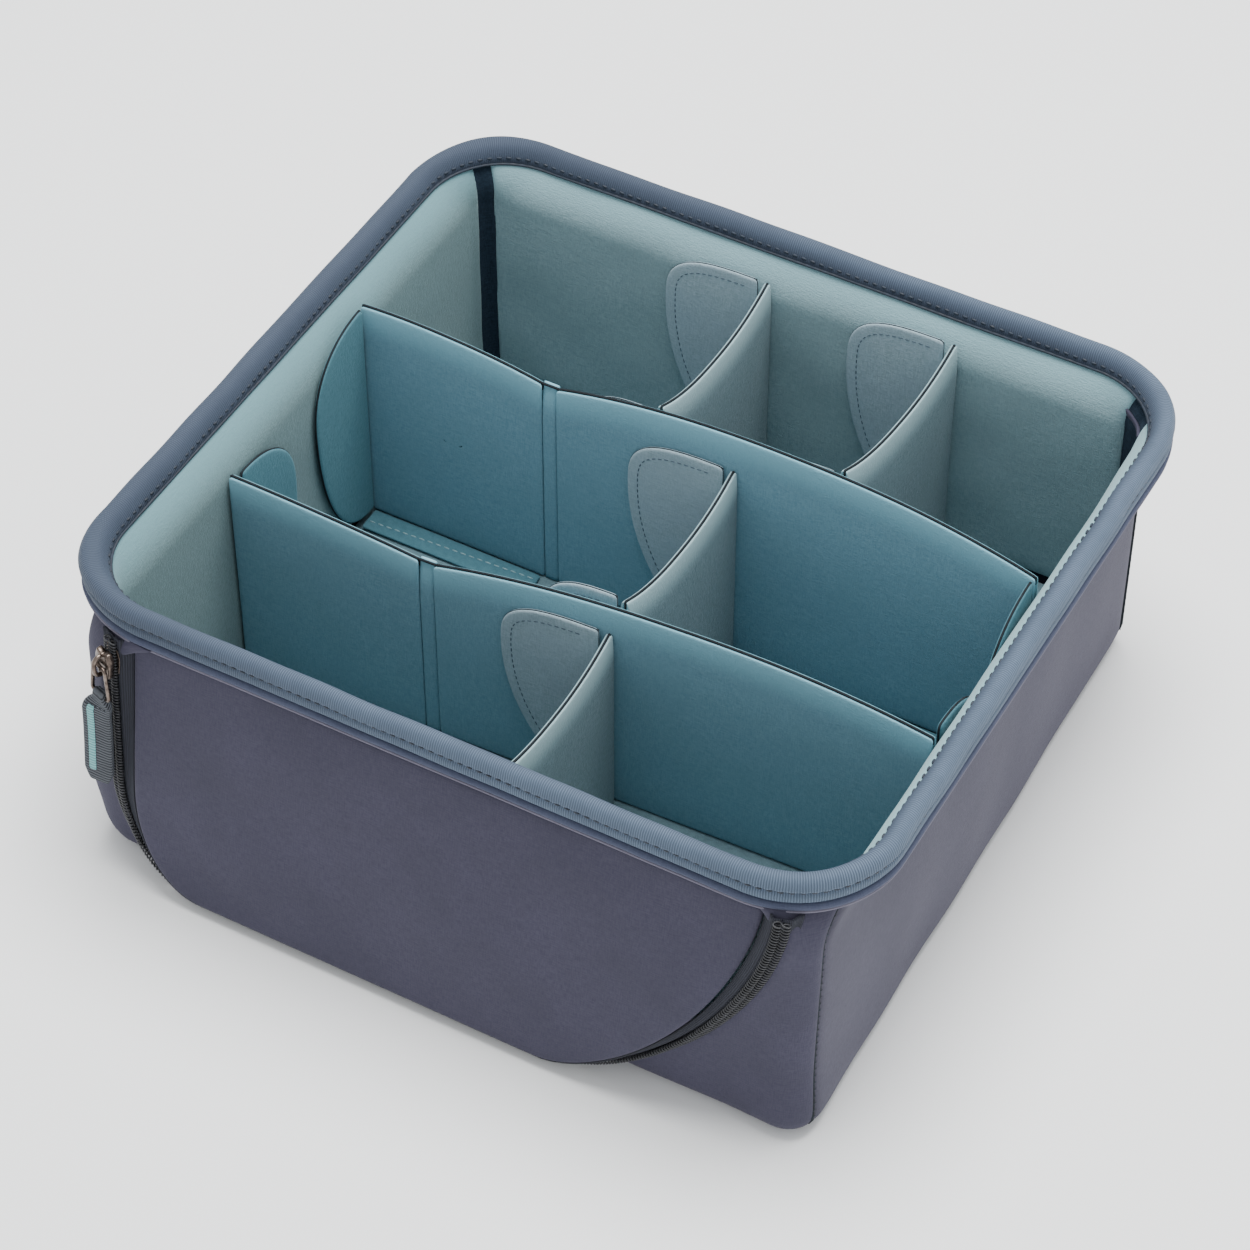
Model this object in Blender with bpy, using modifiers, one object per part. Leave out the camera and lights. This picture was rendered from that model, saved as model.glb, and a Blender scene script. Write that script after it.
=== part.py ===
# Padded camera bag insert: an open box of soft walls with a ribbed rim, a zipped door in the
# front wall, two long folding dividers and four short ones, each held by hook-and-loop tabs.
# Metres, +Z up, the front (zip side) towards -Y. The origin is on the underside, below the
# middle of the rim. Run with: blender --background --python part.py

import bpy
import bmesh
from math import acos, asin, cos, hypot, pi, radians, sin, sqrt
from mathutils import Matrix, Vector

# Overall sizes
rim_length = 0.295
rim_depth = 0.2716
total_height = 0.122
rim_corner_radius = 0.038

# Clearances
fit_gap = 0.0003
overrun = 0.010

# Outer shell
left_overhang = 0.0100
right_overhang = 0.0115
rear_overhang = 0.0101
front_overhang = 0.0023
shell_thickness = 0.0017
bottom_radius = 0.009
shell_corner_radius = 0.012
flare_height = 0.016
flare_run = 0.010
seam_angle = radians(26)
seam_width = 0.0024
seam_cord_radius = 0.0006

# Rim
rim_height = 0.0134
piping_radius = 0.0018
piping_inset = 0.0021
crest_inset = 0.0062
binding_wall = 0.0051
lip_rise_share = 1.45
seat_shares = (1.5, 0.95)
toe_shares = (0.35, 0.07, 0.6)
outer_shares = ((0, 0.3), (0.08, 0.68), (0.45, 0.92))
inner_shares = ((1.55, 0.93), (1.9, 0.76), (1.94, 0.55))
wall_shares = (0.35, 0.12)

# Inside padding; the room inside is twice inner_x wide
inner_x = 0.131
floor_top = 0.0140
liner_thickness = 0.0030
front_liner_thickness = 0.0060
roll_height = 0.030
liner_reach_share = 0.85
inner_corner_radius = 0.010
corner_power = 1.5
corner_share = 1.25
gusset_thickness = 0.0015
floor_skin_share = 1.2
pad_bend_share = 0.33

# Door flap in the front wall, and the opening behind it
door_top_gap = 0.0015
door_left = -0.1135
door_right = 0.1170
door_bend = 0.0445
door_bottom = 0.0052
door_corner_radius = 0.026
door_curve = 1.6
door_lean = 0.0135
door_face_inset = 0.0002
flap_thickness = 0.0040
flap_liner_thickness = 0.0030
flap_liner_margin = 0.0030
opening_margin = 0.0095
flap_column_shares = (0, 0.03, 0.5, 0.97, 1)
sill_height = 0.010

# Zip
zip_top_gap = 0.0020
tape_thickness = 0.0007
tape_edge_gap = 0.0006
tape_width = 0.0060
zip_reach = 0.0072
zip_foot = 0.0039
coil_radius = 0.0012
coil_spacing = 0.0030
coil_forward = 0.0016
coil_tilt = radians(20)
coil_tilt_low = radians(92)
tape_setback = 0.0020
shell_foot_share = 0.75
tilt_power = 1.5

# Slider and pull
slider_width = 0.0080
slider_length = 0.0110
slider_plate = 0.0018
slider_drop = 0.0073
bridge_width = 0.0022
bridge_length = 0.0080
bridge_wall = 0.0014
link_radius = 0.0007
link_width = 0.0092
link_length = 0.0130
link_corner = 0.0012
pull_width = 0.0100
pull_length = 0.0400
pull_thickness = 0.0022
pull_neck = 0.0058
pull_barrel = 0.0019
pull_tip = 0.0050
stripe_width = 0.0028
stripe_thickness = 0.0005
barrel_start_share = 0.5
shoulder_share = 2
tip_share = 0.7

# Long dividers
long_thickness = 0.0070
long_edge = 0.0016
end_gap = 0.0006
fold_x = -0.0545
fold_width = 0.0056
fold_strip_thickness = 0.0012
rear_divider_y = 0.0367
front_divider_y = -0.0448
front_divider_skew = 0.0050
rear_left_height = 0.0975
rear_fold_height = 0.0946
rear_right_height = 0.0918
rear_left_crown = 0.0030
rear_right_crown = 0.0115
front_left_height = 0.0865
front_fold_height = 0.0826
front_right_height = 0.0872
front_left_crown = 0.0012
front_right_crown = 0.0095
foot_width = 0.0100
foot_thickness = 0.0015
foot_start_x = 0.0235
foot_end_gap = 0.0012
crown_power = 2.3

# Short dividers, each with the place and the height of its rear and front ends
short_thickness = 0.0060
short_edge = 0.0014
short_sag = 0.0080
first_rear_x = -0.0148
first_front_x = -0.0145
first_rear_height = 0.0940
first_front_height = 0.0995
second_rear_x = 0.0585
second_front_x = 0.0555
second_rear_height = 0.0970
second_front_height = 0.1020
third_rear_x = 0.0180
third_front_x = 0.0162
third_rear_height = 0.0910
third_front_height = 0.0923
fourth_rear_x = 0.0149
fourth_front_x = 0.0135
fourth_rear_height = 0.0840
fourth_front_height = 0.0860

# Hook-and-loop tabs
tab_thickness = 0.0020
tab_edge = 0.0005
tab_floor_gap = 0.0022
short_tab_width = 0.0370
front_tab_width = 0.0280
front_tab_rise = 0.0010
rear_end_tab_width = 0.0330
front_end_tab_width = 0.0315
tab_peak_share = 0.74
tab_crest_share = 0.03
tab_power = 0.9

# Rounding counts, and how close points are welded
corner_steps = 7
weld_share = 0.03
curve_steps = 9
bottom_steps = 3

# Sizes that follow from the ones above
wall_left_x = left_overhang - rim_length / 2
wall_right_x = rim_length / 2 - right_overhang
wall_rear_y = rim_depth / 2 - rear_overhang
wall_front_y = front_overhang - rim_depth / 2
wall_top = total_height - rim_height - fit_gap
door_top = wall_top - door_top_gap
zip_top = door_top - zip_top_gap
seat_inset = binding_wall + piping_radius / 2
inner_rear_y = wall_rear_y - shell_thickness - fit_gap - liner_thickness
inner_front_y = wall_front_y + shell_thickness + fit_gap + front_liner_thickness
liner_base = floor_top + fit_gap
divider_base = floor_top + fit_gap
door_face_y = wall_front_y - front_overhang + door_face_inset
tape_shell_y = wall_front_y - fit_gap - tape_thickness / 2


# Start from an empty scene
for old_object in list(bpy.data.objects):
    bpy.data.objects.remove(old_object, do_unlink=True)

parts = bpy.data.collections.new("camera_bag_insert")
cutters = bpy.data.collections.new("cutters")
bpy.context.scene.collection.children.link(parts)
bpy.context.scene.collection.children.link(cutters)


# Materials

def srgb_to_linear(value):
    if value <= 0.04045:
        return value / 12.92
    return ((value + 0.055) / 1.055) ** 2.4


def make_material(name, hex_colour, roughness, metallic=0.0):
    material = bpy.data.materials.new(name)
    material.use_nodes = True
    shader = material.node_tree.nodes["Principled BSDF"]
    channels = [int(hex_colour[k:k + 2], 16) / 255 for k in (0, 2, 4)]
    shader.inputs["Base Color"].default_value = [srgb_to_linear(c) for c in channels] + [1]
    shader.inputs["Roughness"].default_value = roughness
    shader.inputs["Metallic"].default_value = metallic
    return material


# Shared modelling steps

def add_modifier(owner, name, kind, **settings):
    modifier = owner.modifiers.new(name, kind)
    for setting, value in settings.items():
        setattr(modifier, setting, value)
    return modifier


def blend(start, end, share):
    return start + (end - start) * share


def along(first, last, count):
    # Evenly spread values from first to last
    return [blend(first, last, k / (count - 1)) for k in range(count)]


def arc_point(centre, radius, angle):
    return centre[0] + radius * cos(angle), centre[1] + radius * sin(angle)


def rounded_rectangle(left, right, front, rear, radius, steps):
    # Plan points of a rectangle with round corners, anticlockwise from the right front corner
    centres = [(right - radius, front + radius, -pi / 2), (right - radius, rear - radius, 0),
               (left + radius, rear - radius, pi / 2), (left + radius, front + radius, pi)]
    points = []
    for x, y, start in centres:
        for angle in along(start, start + pi / 2, steps):
            points.append(arc_point((x, y), radius, angle))
    return points


def bent_grid(name, us, vs, place, thickness, material, offset=-1):
    # A grid whose points are moved by place(u, v) and which is then given its thickness
    # on the side away from its normals
    columns = len(us) - 1
    rows = len(vs) - 1
    mesh = bpy.data.meshes.new(name)
    grid = bmesh.new()
    bmesh.ops.create_grid(grid, x_segments=columns, y_segments=rows, size=0.5)
    for point in grid.verts:
        column = round((point.co.x + 0.5) * columns)
        row = round((point.co.y + 0.5) * rows)
        point.co = place(us[column], vs[row])
    grid.to_mesh(mesh)
    grid.free()
    mesh.materials.append(material)
    piece = bpy.data.objects.new(name, mesh)
    parts.objects.link(piece)
    add_modifier(piece, "thickness", "SOLIDIFY", thickness=thickness, offset=offset)
    return piece


def curve_object(name, points, cyclic, flat):
    curve = bpy.data.curves.new(name, "CURVE")
    curve.dimensions = "2D" if flat else "3D"
    spline = curve.splines.new("POLY")
    spline.points.add(len(points) - 1)
    for knot, point in zip(spline.points, points):
        knot.co = (*point, 0, 1) if flat else (*point, 1)
    spline.use_cyclic_u = cyclic
    piece = bpy.data.objects.new(name, curve)
    parts.objects.link(piece)
    return piece


def as_mesh(piece, material, shift=(0, 0, 0), smooth=True):
    # The curve's evaluated solid as a mesh object with its caps welded
    bpy.context.view_layer.update()
    depsgraph = bpy.context.evaluated_depsgraph_get()
    mesh = bpy.data.meshes.new_from_object(piece.evaluated_get(depsgraph))
    welded = bmesh.new()
    welded.from_mesh(mesh)
    bmesh.ops.remove_doubles(welded, verts=welded.verts, dist=fit_gap * weld_share)
    bmesh.ops.recalc_face_normals(welded, faces=welded.faces)
    welded.to_mesh(mesh)
    welded.free()
    mesh.transform(Matrix.Translation(shift))
    name = piece.name
    matrix = piece.matrix_world.copy()
    bpy.data.objects.remove(piece, do_unlink=True)
    solid = bpy.data.objects.new(name, mesh)
    solid.matrix_world = matrix
    mesh.name = name
    mesh.materials.clear()
    mesh.materials.append(material)
    parts.objects.link(solid)
    if smooth:
        mesh.shade_smooth()
        mesh.set_sharp_from_angle(angle=radians(40))
    return solid


def upright_frame(origin, direction):
    # Local X along a plan direction, local Y up, local Z to the right of the direction
    x_axis = Vector((direction[0], direction[1], 0)).normalized()
    z_axis = Vector((x_axis.y, -x_axis.x, 0))
    frame = Matrix((x_axis, Vector((0, 0, 1)), z_axis)).transposed().to_4x4()
    frame.translation = Vector(origin)
    return frame


def flat_plate(name, outline, thickness, edge, frame, material, lift=0):
    # An outline in local X and Y, thickened along local Z about the height lift
    piece = curve_object(name, outline, True, True)
    piece.data.fill_mode = "BOTH"
    piece.data.extrude = thickness / 2 - edge
    piece.data.bevel_depth = edge
    piece.data.bevel_resolution = 0
    piece.data.offset = -edge
    piece.matrix_world = frame
    return as_mesh(piece, material, (0, 0, lift))


def tube(name, points, radius, material, cyclic=False, resolution=1):
    piece = curve_object(name, points, cyclic, False)
    piece.data.bevel_depth = radius
    piece.data.bevel_resolution = resolution
    piece.data.use_fill_caps = True
    return as_mesh(piece, material)


def box(name, size, centre, frame, material):
    mesh = bpy.data.meshes.new(name)
    solid = bmesh.new()
    bmesh.ops.create_cube(solid, size=1)
    bmesh.ops.scale(solid, vec=size, verts=solid.verts)
    bmesh.ops.translate(solid, vec=centre, verts=solid.verts)
    solid.to_mesh(mesh)
    solid.free()
    mesh.materials.append(material)
    piece = bpy.data.objects.new(name, mesh)
    piece.matrix_world = frame
    parts.objects.link(piece)
    return piece


def rod(name, radius, length, centre, frame, material):
    # A round bar along local X
    mesh = bpy.data.meshes.new(name)
    solid = bmesh.new()
    bmesh.ops.create_cone(solid, cap_ends=True, segments=16, radius1=radius, radius2=radius, depth=length)
    turn = Matrix.Translation(centre) @ Matrix.Rotation(pi / 2, 4, "Y")
    bmesh.ops.transform(solid, matrix=turn, verts=solid.verts)
    solid.to_mesh(mesh)
    solid.free()
    mesh.materials.append(material)
    piece = bpy.data.objects.new(name, mesh)
    piece.matrix_world = frame
    parts.objects.link(piece)
    return piece


def combine(piece, other, operation):
    # Joins or cuts a piece with another, which becomes a hidden guide
    parts.objects.unlink(other)
    cutters.objects.link(other)
    other.hide_render = True
    other.display_type = "WIRE"
    add_modifier(piece, other.name, "BOOLEAN", operation=operation, object=other, solver="EXACT")


def loft_rings(name, rings, material):
    # A solid through level rings of plan points, closed by a face at each end
    mesh = bpy.data.meshes.new(name)
    solid = bmesh.new()
    levels = [[solid.verts.new((x, y, z)) for x, y in ring] for ring, z in rings]
    count = len(levels[0])
    for low, high in zip(levels, levels[1:]):
        for k in range(count):
            after = (k + 1) % count
            solid.faces.new((low[k], low[after], high[after], high[k]))
    solid.faces.new(levels[0][::-1])
    solid.faces.new(levels[-1])
    solid.to_mesh(mesh)
    solid.free()
    mesh.materials.append(material)
    piece = bpy.data.objects.new(name, mesh)
    parts.objects.link(piece)
    return piece


# Outer shell

def shell_inset(z):
    # How far the rounded bottom edge draws the wall in at a height
    drop = max(bottom_radius - z, 0)
    return bottom_radius - sqrt(bottom_radius ** 2 - drop ** 2)


def shell_plan(inset, radius, steps):
    # The shell's plan drawn in by an inset
    return rounded_rectangle(wall_left_x + inset, wall_right_x - inset, wall_front_y + inset,
                             wall_rear_y - inset, radius, steps)


def shell_point(z, x_side, y_side, angle, run=0):
    # A plan point on a corner of the shell, the angle counted from the side wall, or a run back
    # along the wall from there, where the wall's top leans outwards to carry the rim
    inset = shell_inset(z)
    radius = shell_corner_radius - inset
    overhang = rear_overhang if angle > seam_angle else right_overhang if x_side > 0 else left_overhang
    rise = max(z - (wall_top - flare_height), 0) / flare_height
    reach = radius + ((overhang - seat_inset + fit_gap) * rise ** 2 if run else 0)
    side = (wall_right_x if x_side > 0 else -wall_left_x) - inset
    end = (wall_rear_y if y_side > 0 else -wall_front_y) - inset
    x = x_side * (side - radius + reach * cos(angle) - run * sin(angle))
    y = y_side * (end - radius + reach * sin(angle) - run * cos(angle))
    return x, y


def shell_panel(name, columns, top, material):
    # Columns are (x side, y side, angle, seam side, run). The seam side says on which side of the
    # seam the panel is, and its columns close up to leave room for the seam's cord. At the
    # corners the top is lower, where the rim's piping crosses over it
    bend = wall_top - flare_height

    def place(column, z):
        x_side, y_side, angle, seam_side, run = column
        if not run and z > bend:
            z = blend(bend, door_top, (z - bend) / (top - bend))
        gap = asin(seam_width / 2 / (shell_corner_radius - shell_inset(z)))
        if seam_side < 0:
            turn = angle * (1 - gap / seam_angle)
        else:
            turn = pi / 2 - (pi / 2 - angle) * (1 - gap / (pi / 2 - seam_angle))
        return *shell_point(z, x_side, y_side, turn, run), z

    low = [bottom_radius * (1 - cos(angle)) for angle in along(0, pi / 2, bottom_steps + 1)]
    heights = low + along(bend, top, 4)
    return bent_grid(name, columns, heights, place, shell_thickness, material)


def corner_columns(x_side, y_side, first, last, run=0):
    # Four columns round a corner from one angle to another, and one where the flare is complete
    seam_side = 1 if pi / 2 in (first, last) else -1
    columns = [(x_side, y_side, angle, seam_side, 0) for angle in along(first, last, 4)]
    straight_first = first in (0, pi / 2)
    if run:
        flared = (x_side, y_side, first if straight_first else last, seam_side, run)
        columns = [flared] + columns if straight_first else columns + [flared]
    return columns


def door_outline(left, right, bottom, top, radius, steps):
    # The door's U: down the left leg, round the corner, along the bottom, up the right curve
    points = [(left, z) for z in along(top, bottom + radius, 4)[:-1]]
    for angle in along(pi, 3 * pi / 2, steps):
        points.append(arc_point((left + radius, bottom + radius), radius, angle))
    points += [(x, bottom) for x in along(left + radius, door_bend, 4)[1:-1]]
    for angle in along(0, pi / 2, steps + 2):
        x = door_bend + (right - door_bend) * sin(angle) ** (2 / door_curve)
        z = top - (top - bottom) * cos(angle) ** (2 / door_curve)
        points.append((x, z))
    return points


def build_shell(fabric, seam_black):
    side = (seam_angle, 0, flare_run)
    end = (seam_angle, pi / 2, flare_run)
    right = corner_columns(1, -1, *side) + corner_columns(1, 1, 0, *side[::2])
    left = corner_columns(-1, 1, *side) + corner_columns(-1, -1, 0, *side[::2])
    rear = corner_columns(1, 1, *end) + corner_columns(-1, 1, pi / 2, *end[::2])
    front = corner_columns(-1, -1, *end[:2]) + corner_columns(1, -1, pi / 2, seam_angle)
    # The flare tips the inner edge of the top upwards
    top = wall_top - shell_thickness / 2
    shell_panel("right_outer_panel", right, top, fabric)
    shell_panel("left_outer_panel", left, top, fabric)
    shell_panel("rear_outer_panel", rear, top, fabric)
    front_panel = shell_panel("front_outer_panel", front, door_top, fabric)
    opening = door_outline(door_left - opening_margin, door_right + opening_margin, sill_height,
                           door_top + overrun, door_corner_radius + opening_margin, curve_steps)
    frame = upright_frame((0, wall_front_y, 0), (1, 0))
    cutter = flat_plate("door_opening", opening, overrun * 2, 0, frame, fabric)
    combine(front_panel, cutter, "DIFFERENCE")

    # The panels' lowest facets lean by half a step, which brings their inner edge further in
    inset = bottom_radius + shell_thickness * sin(pi / 4 / bottom_steps) + fit_gap
    base = shell_plan(inset, shell_corner_radius - inset, 4)
    loft_rings("base_panel", [(base, 0), (base, shell_thickness)], fabric)

    corners = [("front_right", 1, -1), ("front_left", -1, -1), ("rear_right", 1, 1), ("rear_left", -1, 1)]
    for corner, x_side, y_side in corners:
        points = []
        for z in (bottom_radius / 2, bottom_radius, door_top):
            surface = Vector((*shell_point(z, x_side, y_side, seam_angle), z))
            inward = Vector((-x_side * cos(seam_angle), -y_side * sin(seam_angle), 0))
            points.append(surface + inward * (shell_thickness / 2))
        tube("corner_seam_" + corner, points, seam_cord_radius, seam_black)


# Rim

def rim_section():
    # Inset from the rim's outer edge, and height, round the binding's section: its seat on the
    # wall, the step over the piping, the outer side, the crest and the inner side
    top = total_height
    low = wall_top + fit_gap
    lip = low + piping_radius * lip_rise_share
    crest = crest_inset / 2
    section = [(seat_inset, low)]
    section.append((piping_inset + piping_radius * seat_shares[0], low))
    section.append((piping_inset + piping_radius * seat_shares[1], lip))
    section.append((crest * toe_shares[0], lip))
    section.append((crest * toe_shares[1], lip + piping_radius * toe_shares[2]))
    section += [(crest * inset, blend(lip, top, rise)) for inset, rise in outer_shares]
    section.append((crest, top))
    section += [(crest * inset, blend(lip, top, rise)) for inset, rise in inner_shares]
    section += [(binding_wall, blend(lip, top, rise)) for rise in wall_shares]
    return section


def build_rim(binding, piping):
    half_x = rim_length / 2
    half_y = rim_depth / 2
    middle_inset = crest_inset / 2
    path = rounded_rectangle(middle_inset - half_x, half_x - middle_inset, middle_inset - half_y,
                             half_y - middle_inset, rim_corner_radius - middle_inset, corner_steps)
    section = [(middle_inset - inset, z - total_height) for inset, z in rim_section()]
    profile = curve_object("binding_profile", section, True, True)
    ring = curve_object("rim_binding", [(x, y, total_height) for x, y in path], True, False)
    ring.data.bevel_mode = "OBJECT"
    ring.data.bevel_object = profile
    ring.data.twist_mode = "Z_UP"
    as_mesh(ring, binding)
    bpy.data.objects.remove(profile, do_unlink=True)

    low = wall_top + fit_gap
    piping_z = low + piping_radius * lip_rise_share - fit_gap - piping_radius
    path = rounded_rectangle(piping_inset - half_x, half_x - piping_inset, piping_inset - half_y,
                             half_y - piping_inset, rim_corner_radius - piping_inset, corner_steps)
    tube("rim_piping", [(x, y, piping_z) for x, y in path], piping_radius, piping, True, 1)


# Padding inside the walls

def liner_plan(z):
    # Half width, front, rear and corner radius of the room inside the liners at a height. The
    # radius grows slowly at first, so the ends of the pads come no further in than their middles
    rise = max(z - (total_height - roll_height), 0) / roll_height
    roll = rise ** 2
    rim_inner_x = rim_length / 2 - crest_inset
    rim_inner_y = rim_depth / 2 - crest_inset
    radius = blend(inner_corner_radius, rim_corner_radius, corner_share * rise ** corner_power)
    return (blend(inner_x, rim_inner_x, roll), blend(inner_front_y, -rim_inner_y, roll),
            blend(inner_rear_y, rim_inner_y, roll), radius)


def side_liner_x(y, z):
    half, front, rear, radius = liner_plan(z)
    past = max(y - (rear - radius), front + radius - y, 0)
    return half - radius + sqrt(radius ** 2 - past ** 2)


def rear_liner_y(x, z):
    half, _, rear, radius = liner_plan(z)
    past = max(abs(x) - (half - radius), 0)
    return rear - radius + sqrt(radius ** 2 - past ** 2)


def gusset_ring(x_side, y_side, z):
    # A quarter-round strip between the ends of two liner pads, which narrows as the pads bend
    half, front, rear, radius = liner_plan(z)
    end = rear if y_side > 0 else -front
    pad_end_y = (inner_rear_y if y_side > 0 else -inner_front_y) - inner_corner_radius - fit_gap
    pad_end_x = inner_x - inner_corner_radius - fit_gap
    gap = fit_gap / radius
    first = asin((pad_end_y - end + radius) / radius) + gap
    last = acos((pad_end_x - half + radius) / radius) - gap
    angles = along(first, last, 5)
    centre = (half - radius, end - radius)
    ring = [arc_point(centre, radius + gusset_thickness, angle) for angle in angles]
    ring += [arc_point(centre, radius, angle) for angle in angles[::-1]]
    ring = [(x * x_side, y * y_side) for x, y in ring]
    return ring if x_side * y_side > 0 else ring[::-1]


def build_padding(loop_fabric, gusset_fabric):
    bend = bottom_radius - shell_thickness - fit_gap * floor_skin_share
    rings = [(bottom_radius + fit_gap, shell_thickness + fit_gap)]
    for angle in along(0, pi / 2, bottom_steps + 1)[1:]:
        rings.append((bottom_radius - bend * sin(angle), bottom_radius - bend * cos(angle)))
    rings.append((rings[-1][0], floor_top))
    levels = []
    for inset, z in rings:
        corner = max(shell_corner_radius - inset, inner_corner_radius / 2)
        levels.append((shell_plan(inset, corner, 4), z))
    loft_rings("floor_pad", levels, loop_fabric)

    top = total_height - roll_height * (1 - liner_reach_share) - liner_thickness
    roll_start = total_height - roll_height
    heights = [liner_base] + along(roll_start, top, 4)
    reach = inner_corner_radius + fit_gap
    bend = rim_corner_radius * pad_bend_share
    ys = along(inner_front_y + reach, inner_front_y + reach + bend, 3)
    ys += along(inner_rear_y - reach - bend, inner_rear_y - reach, 3)
    xs = along(reach - inner_x, reach - inner_x + bend, 3)
    xs += along(inner_x - reach - bend, inner_x - reach, 3)
    skin = shell_thickness + fit_gap
    bent_grid("right_liner_pad", ys[::-1], heights, lambda y, z: (side_liner_x(y, z), y, z),
              wall_right_x - skin - inner_x, loop_fabric)
    bent_grid("left_liner_pad", ys, heights, lambda y, z: (-side_liner_x(y, z), y, z),
              -wall_left_x - skin - inner_x, loop_fabric)
    bent_grid("rear_liner_pad", xs, heights, lambda x, z: (x, rear_liner_y(x, z), z),
              liner_thickness, loop_fabric)

    opening = door_outline(door_left - opening_margin / 2, door_right, floor_top - sill_height, door_top,
                           door_corner_radius, curve_steps)
    right_edge = [point for point in opening if point[0] > door_bend and point[1] > liner_base]
    far = inner_x - reach
    right_pad = [(far, door_top), (far, liner_base), (door_bend + door_corner_radius / 2, liner_base)]
    left_pad = [(-far, door_top), (-far, liner_base), (door_left - opening_margin / 2, liner_base)]
    left_pad.append((door_left - opening_margin / 2, door_top))
    pad_y = inner_front_y - front_liner_thickness / 2
    frame = upright_frame((0, pad_y, 0), (1, 0))
    right_pad += [point for point in right_edge if point[0] > right_pad[-1][0]]
    flat_plate("front_liner_pad_right", right_pad[::-1], front_liner_thickness, 0, frame, loop_fabric)
    flat_plate("front_liner_pad_left", left_pad, front_liner_thickness, 0, frame, loop_fabric)

    corners = [("front_right", 1, -1), ("front_left", -1, -1), ("rear_right", 1, 1), ("rear_left", -1, 1)]
    for corner, x_side, y_side in corners:
        top = wall_top if y_side > 0 else door_top
        levels = [(gusset_ring(x_side, y_side, z), z) for z in [liner_base] + along(roll_start, top, 3)]
        loft_rings("corner_gusset_" + corner, levels, gusset_fabric)


# Door flap

def flap_face_y(z):
    # The flap's outer face leans out towards its lower edge
    return door_face_y - door_lean * (door_top - z) / (door_top - door_bottom)


def door_left_x(z, left, bottom, radius):
    low = min(max(bottom + radius - z, 0), radius)
    return left + radius - sqrt(radius ** 2 - low ** 2)


def door_right_x(z, right, bottom, top):
    share = min((top - z) / (top - bottom), 1)
    return door_bend + (right - door_bend) * (1 - share ** door_curve) ** (1 / door_curve)


def flap_slab(name, margin, depth, thickness, material):
    top = door_top - margin
    bottom = door_bottom + margin
    radius = door_corner_radius - margin

    def place(share, z):
        left = door_left_x(z, door_left + margin, bottom, radius)
        right = door_right_x(z, door_right - margin, bottom, top)
        return blend(left, right, share), flap_face_y(z) + depth, z

    heights = [top - (top - bottom) * sin(angle) for angle in along(pi / 2, 0, curve_steps)]
    return bent_grid(name, flap_column_shares, heights, place, thickness, material)


# Zip

def zip_rails():
    # For each station along the zip: the flap's edge, the middle of the coil, the shell's edge,
    # the direction across the tapes, and the direction that the coil faces
    edge = door_outline(door_left - tape_edge_gap, door_right + tape_edge_gap,
                        door_bottom - tape_edge_gap * 2, zip_top, door_corner_radius, curve_steps)
    middle = door_outline(door_left - zip_reach, door_right + zip_reach, zip_foot, zip_top,
                          door_corner_radius + zip_reach / 2, curve_steps)
    shell = door_outline(door_left - zip_reach - tape_width, door_right + zip_reach + tape_width,
                         sill_height * shell_foot_share, zip_top, door_corner_radius + zip_reach,
                         curve_steps)
    stations = []
    for k, (x, z) in enumerate(middle):
        before = middle[max(k - 1, 0)]
        after = middle[min(k + 1, len(middle) - 1)]
        run = hypot(after[0] - before[0], after[1] - before[1])
        tangent = Vector((after[0] - before[0], 0, after[1] - before[1])) / run
        outward = Vector((tangent.z, 0, -tangent.x))
        low = max(-outward.z, 0) ** tilt_power
        tilt = blend(coil_tilt, coil_tilt_low, low)
        across = outward * cos(tilt) + Vector((0, sin(tilt), 0))
        facing = across.cross(tangent)
        edge_y = flap_face_y(edge[k][1]) + tape_setback
        middle_y = blend(edge_y, tape_shell_y, 0.5) - coil_forward
        edge_point = Vector((edge[k][0], edge_y, edge[k][1]))
        middle_point = Vector((x, middle_y, z))
        shell_point = Vector((shell[k][0], tape_shell_y, shell[k][1]))
        stations.append((edge_point, middle_point, shell_point, across, facing))
    return stations


def build_zip(tape_black, coil_black):
    stations = zip_rails()
    rise = tape_thickness / 2 + fit_gap + coil_radius
    half = coil_spacing / 2
    for side, owner in ((-1, "flap"), (1, "shell")):
        def place(k, row, side=side):
            edge, middle, shell, across, _ = stations[k]
            far = edge if side < 0 else shell
            near = middle + across * (side * fit_gap)
            return (near, middle + across * (side * (half + coil_radius)), far)[row]

        bent_grid(owner + "_zip_tape", list(range(len(stations))), [0, 1, 2], place, tape_thickness,
                  tape_black, 0)
        points = [middle + across * (side * half) + facing * rise
                  for _, middle, _, across, facing in stations]
        tube(owner + "_zip_coil", points, coil_radius, coil_black)


def slider_frame():
    # On the coil's middle line at the slider's rest place: X across, Y into the case, Z up the leg
    _, top_point, _, _, facing = zip_rails()[0]
    lower_point = zip_rails()[2][1]
    up = (top_point - lower_point).normalized()
    inward = -facing
    inward = (inward - up * inward.dot(up)).normalized()
    across = inward.cross(up)
    frame = Matrix((across, inward, up)).transposed().to_4x4()
    frame.translation = top_point - up * slider_drop
    return frame


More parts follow.
